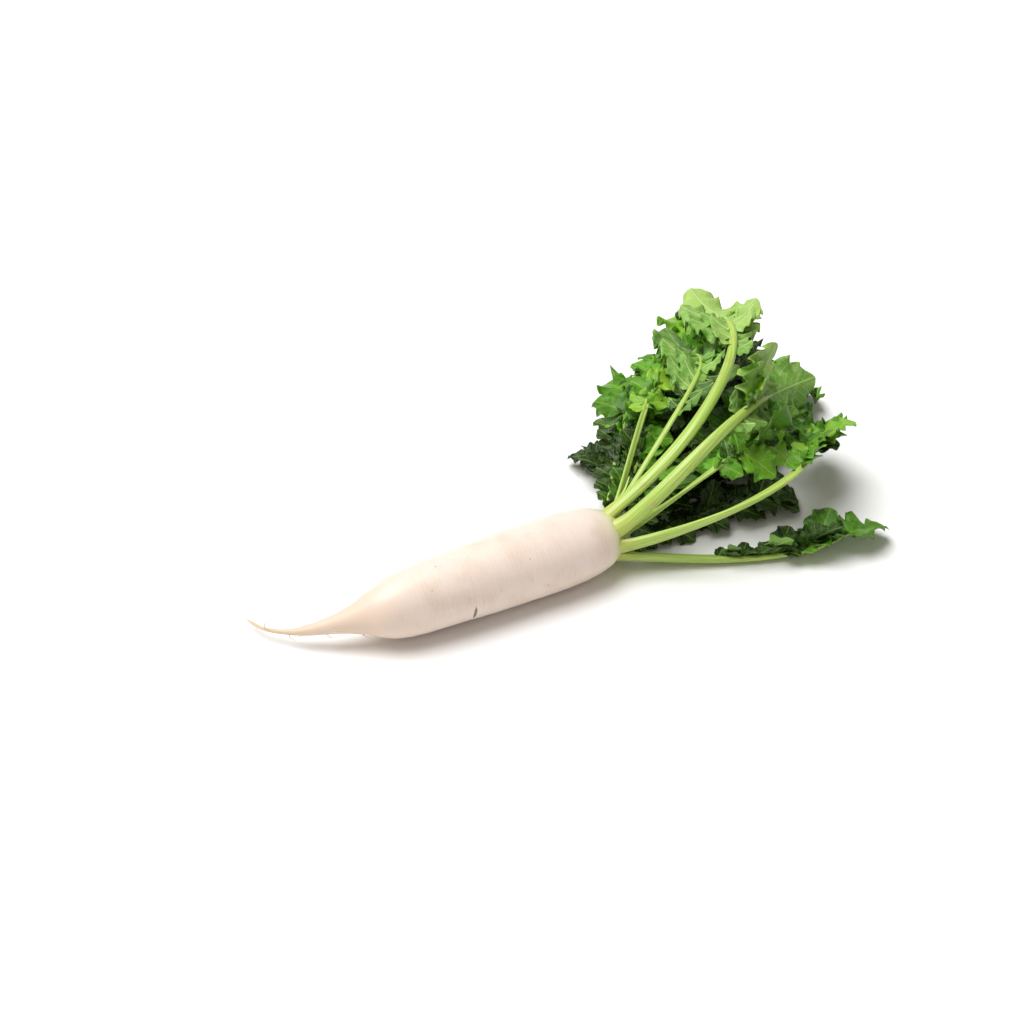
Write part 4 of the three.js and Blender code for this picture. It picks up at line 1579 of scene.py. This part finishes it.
@dataclass
class Taproot:
    """The white root: its crown, its thick body and its thin curved tail."""

    sides: int = 160
    row_spacing: float = 2.0
    axis_height: float = 36.6
    neck_start: float = 86.0
    neck_end: float = 98.0
    neck_blend: float = 3.0
    neck_ridges: int = 9
    neck_ridge_height: float = 0.9
    nick: tuple[tuple[float, float, float], ...] = ((-77.4, -35.4, 37.5), (-78.0, -30.0, 18.0))

    # Millimetres: the skin's slow unevenness and the fine rings round it
    UNEVEN_HEIGHT = 0.45
    UNEVEN_SIZE = 55.0
    UNEVEN_SEED = 4
    RING_HEIGHT = 0.1
    RING_SIZE = 9.0
    RING_STRETCH = 0.12
    RING_SEED = 5

    # The scars that side roots have left, in two rows along the root
    SCARS = 30
    SCAR_START = 74.0
    SCAR_SPACING = 8.4
    SCAR_PLACE_SWING = 3.0
    SCAR_ROWS = (196.0, 8.0)
    SCAR_ANGLE_SWING = 0.3
    SCAR_LENGTH = 1.3
    SCAR_WIDTH = 3.0
    SCAR_WIDTH_SWING = 1.6
    SCAR_DEPTH = 0.35

    # The skin is smoother where the root is thinner than this
    FULL_RELIEF_RADIUS = 30.0

    def stations(self) -> np.ndarray:
        """The root's middle line and its radius, from the crown to the end of the tail."""
        high = self.axis_height
        return np.array([
            (101.5, 0, high, 0), (101.0, 0, high, 8), (99.6, 0, high, 14), (97.2, 0, high, 18.6),
            (94.2, 0, high, 21.4), (90.5, 0, high, 24), (85.5, 0, high, 27.4), (77.0, 0, high, 31.4),
            (63.0, 0, high, 35), (42.0, 0, high, 37.1), (3.0, 0, high, 37.8), (-45.0, 0, high, 37),
            (-87.0, 0, high, 35.2), (-124.0, 0, 36.4, 33.2), (-151.0, 1, 35.0, 28.6),
            (-170.0, 5, 33.0, 21.2), (-183.0, 8, 31.0, 15.2), (-200.0, 14, 27.0, 10),
            (-226.0, 27, 19.0, 5.2), (-243.0, 40, 14.0, 2.6), (-258.0, 57, 10.5, 1.7),
            (-266.0, 76, 8.5, 1.2), (-267.0, 81, 8.2, 0.05),
        ], float)

    def rings(self) -> np.ndarray:
        """Close rings on a smooth curve through the stations.

        Returns:
            The x, y and z of each ring's middle, and its radius, one ring to a row.
        """
        stations = self.stations()
        found = []
        for i in range(len(stations) - 1):
            a, b, c = stations[max(i - 1, 0)], stations[i], stations[i + 1]
            d = stations[min(i + 2, len(stations) - 1)]
            rows = math.ceil(np.hypot(c[0] - b[0], c[1] - b[1]) / self.row_spacing)
            for share in np.arange(rows) / rows:
                slope, next_slope = (c - a) / 2.0, (d - b) / 2.0
                cubic = 2.0 * (b - c) + slope + next_slope
                square = 3.0 * (c - b) - 2.0 * slope - next_slope
                found.append(((cubic * share + square) * share + slope) * share + b)
        found.append(stations[-1])
        return np.array(found)

    def build(self) -> None:
        """Makes the root's mesh, with its small unevenness, and dresses it."""
        rings = self.rings()
        middle, radius = rings[:, :3], np.maximum(rings[:, 3], 0.05)
        tangent = unit(np.gradient(middle, axis=0))
        side = unit(np.cross([0.0, 0.0, 1.0], tangent))
        up = np.cross(tangent, side)
        turn = np.arange(self.sides) / self.sides * 2.0 * math.pi
        ridged = smoothstep((rings[:, 0] - self.neck_start) / self.neck_blend)
        ridged = ridged * smoothstep((self.neck_end - rings[:, 0]) / self.neck_blend)
        ridge = self.neck_ridge_height * ridged[:, None] * np.cos(self.neck_ridges * turn)
        out = side[:, None] * np.cos(turn)[None, :, None] + up[:, None] * np.sin(turn)[None, :, None]
        points = middle[:, None] + out * (radius[:, None] + ridge)[..., None]
        relief, scar = self.relief(points, radius, turn)
        points = points + out * relief[..., None]
        points[..., 2] = np.maximum(points[..., 2], 0.0)
        ends = tuple(np.array(point) for point in self.nick)
        piece = make_piece(
            "taproot_skin", points.reshape(-1, 3), tube_faces(len(rings), self.sides),
            [SkinFinish().material(ends)], marks={"scar": scar.ravel()},
        )
        settle(piece, "root_skin", "taproot")

    def relief(
        self, points: np.ndarray, radius: np.ndarray, turn: np.ndarray
    ) -> tuple[np.ndarray, np.ndarray]:
        """The skin's own unevenness and the scars in it.

        Args:
            points: The points of the smooth root, in rings.
            radius: The radius of each ring.
            turn: The angle of each point in a ring.

        Returns:
            How far the skin stands in or out at each point, and how much of a scar is there.
        """
        flat = points.reshape(-1, 3)
        shape = points.shape[:2]
        share = np.minimum(radius / self.FULL_RELIEF_RADIUS, 1.0)[:, None]
        uneven = self.UNEVEN_HEIGHT * unevenness(flat, self.UNEVEN_SIZE, self.UNEVEN_SEED)
        stretched = flat * np.array([1.0, self.RING_STRETCH, self.RING_STRETCH])
        uneven = uneven + self.RING_HEIGHT * unevenness(stretched, self.RING_SIZE, self.RING_SEED)
        scar = np.zeros(shape)
        for number in range(self.SCARS):
            x = self.SCAR_START - self.SCAR_SPACING * number + self.SCAR_PLACE_SWING * swing(number, 1, 1)
            angle = math.radians(self.SCAR_ROWS[number % 2]) + self.SCAR_ANGLE_SWING * swing(number, 2, 2)
            around = (np.angle(np.exp(1j * (turn - angle)))[None, :]) * radius[:, None]
            wide = self.SCAR_WIDTH + self.SCAR_WIDTH_SWING * swing(number, 3, 3)
            scar += np.exp(-(((points[..., 0] - x) / self.SCAR_LENGTH) ** 2) - (around / wide) ** 2)
        scar = np.minimum(scar, 1.0)
        return (uneven.reshape(shape) - self.SCAR_DEPTH * scar) * share, scar


@dataclass
class RootHairs:
    """The thin whitish hairs along the tail, as fine tapered tubes in one mesh."""

    taproot: Taproot
    count: int = 11
    sides: int = 6
    rows: int = 13
    width: float = 0.9
    length: float = 28.0
    start: float = -176.0
    end: float = -257.0

    # How unevenly the hairs stand along the tail and round it
    PLACE_SWING = 0.9
    ROWS_AT = (math.pi, -0.2)
    ANGLE_SWING = 1.2
    LENGTH_SHARES = (0.65, 0.45)

    # A hair's line in parts of its length: out and less so, back and more so, and its curl
    ROOTED = 0.6
    OUT = (0.75, -0.2)
    BACK = (0.25, 0.5)
    CURL = 0.3
    CURL_TURN = 2.6
    THINNING = 0.7

    # A direction that no hair runs along, to turn its rings about
    ASIDE = (0.31, 0.22, 0.93)

    def hair(self, number: int, middle: np.ndarray, tangent: np.ndarray, radius: float) -> np.ndarray:
        """One hair's points: out of the skin, swept back along the tail and a little curled.

        Args:
            number: The hair's own number.
            middle: The middle of the root where the hair grows.
            tangent: The root's direction there.
            radius: The root's radius there.

        Returns:
            The points of its rings, one to a row.
        """
        side = unit(np.cross([0.0, 0.0, 1.0], tangent))
        up = np.cross(tangent, side)
        angle = self.ROWS_AT[number % 2] + self.ANGLE_SWING * swing(number, 1, 1)
        out = side * math.cos(angle) + up * math.sin(angle)
        length = self.length * (self.LENGTH_SHARES[0] + self.LENGTH_SHARES[1] * swing(number, 2, 2))
        share = np.linspace(0.0, 1.0, self.rows)[:, None]
        away, back = (
            length * (first * share + second * share * share) for first, second in (self.OUT, self.BACK)
        )
        curl = length * self.CURL * swing(number, 3, 3) * np.sin(self.CURL_TURN * share)
        line = middle + out * (radius - self.ROOTED + away) - tangent * back
        line = line + np.cross(out, tangent) * curl
        line[:, 2] = np.maximum(line[:, 2], self.width)
        along = unit(np.gradient(line, axis=0))
        across = unit(np.cross(along, self.ASIDE))
        over = np.cross(along, across)
        turn = np.arange(self.sides) / self.sides * 2.0 * math.pi
        thick = (self.width / 2.0 * (1.0 - self.THINNING * share))[:, None]
        ring = across[:, None] * np.cos(turn)[None, :, None] + over[:, None] * np.sin(turn)[None, :, None]
        return (line[:, None] + ring * thick).reshape(-1, 3)

    def build(self) -> None:
        """Makes the hairs in one mesh and dresses them."""
        rings = self.taproot.rings()
        tangents = unit(np.gradient(rings[:, :3], axis=0))
        points, faces = [], []
        for number in range(self.count):
            place = (number + 0.5 + self.PLACE_SWING * swing(number, 4, 4)) / self.count
            x = self.start + (self.end - self.start) * place
            row = int(np.argmin(np.abs(rings[:, 0] - x)))
            faces.extend(tube_faces(self.rows, self.sides, number * self.rows * self.sides))
            points.append(self.hair(number, rings[row, :3], tangents[row], rings[row, 3]))
        piece = make_piece("root_hairs", np.concatenate(points), faces, [HairFinish().material()])
        settle(piece, "root_skin")


@dataclass
class Studio:
    """The plain pale floor, the soft lights and the camera."""

    floor: str = "#f7f7f7"
    floor_reach: float = 12000.0
    camera_place: tuple[float, float, float] = (-0.61898, -1.13115, 1.10512)
    camera_height: float = 38.0
    camera_turn: float = -27.9
    lens: float = 60.0
    middle: tuple[float, float, float] = (0.08, 0.03, 0.05)
    key_place: tuple[float, float, float] = (-0.9, 0.95, 3.2)
    key_strength: float = 3.75
    key_spread: float = 50.0
    fill_place: tuple[float, float, float] = (-1.4, -1.4, 1.3)
    fill_colour: tuple[float, float, float] = (1.0, 0.86, 0.74)
    fill_size: float = 2.0
    fill_power: float = 7.0
    room_colour: tuple[float, float, float] = (1.0, 0.94, 0.88)
    room_strength: float = 0.22

    def build(self) -> None:
        """Makes the floor, the lights and the camera, and sets the plain colour transform."""
        self.add_floor()
        self.add_key_light()
        self.add_fill_light()
        world = bpy.data.worlds.new("pale_room")
        world.use_nodes = True
        background = world.node_tree.nodes["Background"]
        background.inputs["Color"].default_value = (*self.room_colour, 1.0)
        background.inputs["Strength"].default_value = self.room_strength
        bpy.context.scene.world = world
        bpy.context.scene.view_settings.view_transform = "Standard"
        lens = bpy.data.cameras.new("camera")
        lens.lens = self.lens
        camera = bpy.data.objects.new("camera", lens)
        camera.location = self.camera_place
        camera.rotation_euler = (math.radians(90.0 - self.camera_height), 0.0, math.radians(self.camera_turn))
        bpy.context.scene.collection.objects.link(camera)
        bpy.context.scene.camera = camera

    def add_floor(self) -> None:
        """A wide plain floor."""
        material = new_material("floor_paper")
        shader = add_node(
            material, "ShaderNodeBsdfPrincipled", {"Base Color": linear(self.floor), "Roughness": 0.8}
        )
        add_node(material, "ShaderNodeOutputMaterial", {"Surface": shader.outputs[0]})
        corners = np.array([(-1, -1, 0), (1, -1, 0), (1, 1, 0), (-1, 1, 0)], float) * self.floor_reach
        floor = make_piece("floor", corners, [(0, 1, 2, 3)], [material])

    def add_key_light(self) -> None:
        """The wide soft light from above, which is even over the whole floor."""
        data = bpy.data.lights.new("key_light", "SUN")
        data.energy = self.key_strength
        data.angle = math.radians(self.key_spread)
        self.aim(data, self.key_place)

    def add_fill_light(self) -> None:
        """The faint warm light from the front, which lifts the shade under the root."""
        data = bpy.data.lights.new("fill_light", "AREA")
        data.energy = self.fill_power
        data.size = self.fill_size
        data.color = self.fill_colour
        self.aim(data, self.fill_place)

    def aim(self, data: bpy.types.Light, place: tuple[float, float, float]) -> None:
        """Puts a light at a place, turned to the middle of the radish.

        Args:
            data: The light.
            place: Its place in metres.
        """
        light = bpy.data.objects.new(data.name, data)
        light.location = place
        way = Vector(self.middle) - light.location
        light.rotation_euler = way.to_track_quat("-Z", "Y").to_euler()
        bpy.context.scene.collection.objects.link(light)


def main() -> None:
    """Makes the studio, the root with its hairs, the stump and the leaves."""
    logging.basicConfig(level=logging.INFO, format="%(name)s: %(message)s")
    Studio().build()
    taproot = Taproot()
    taproot.build()
    RootHairs(taproot).build()
    BrokenStalk(STUB).build()
    bunch = LeafBunch(LEAVES)
    bunch.grow()
    bunch.build()


if __name__ == "__main__":
    main()
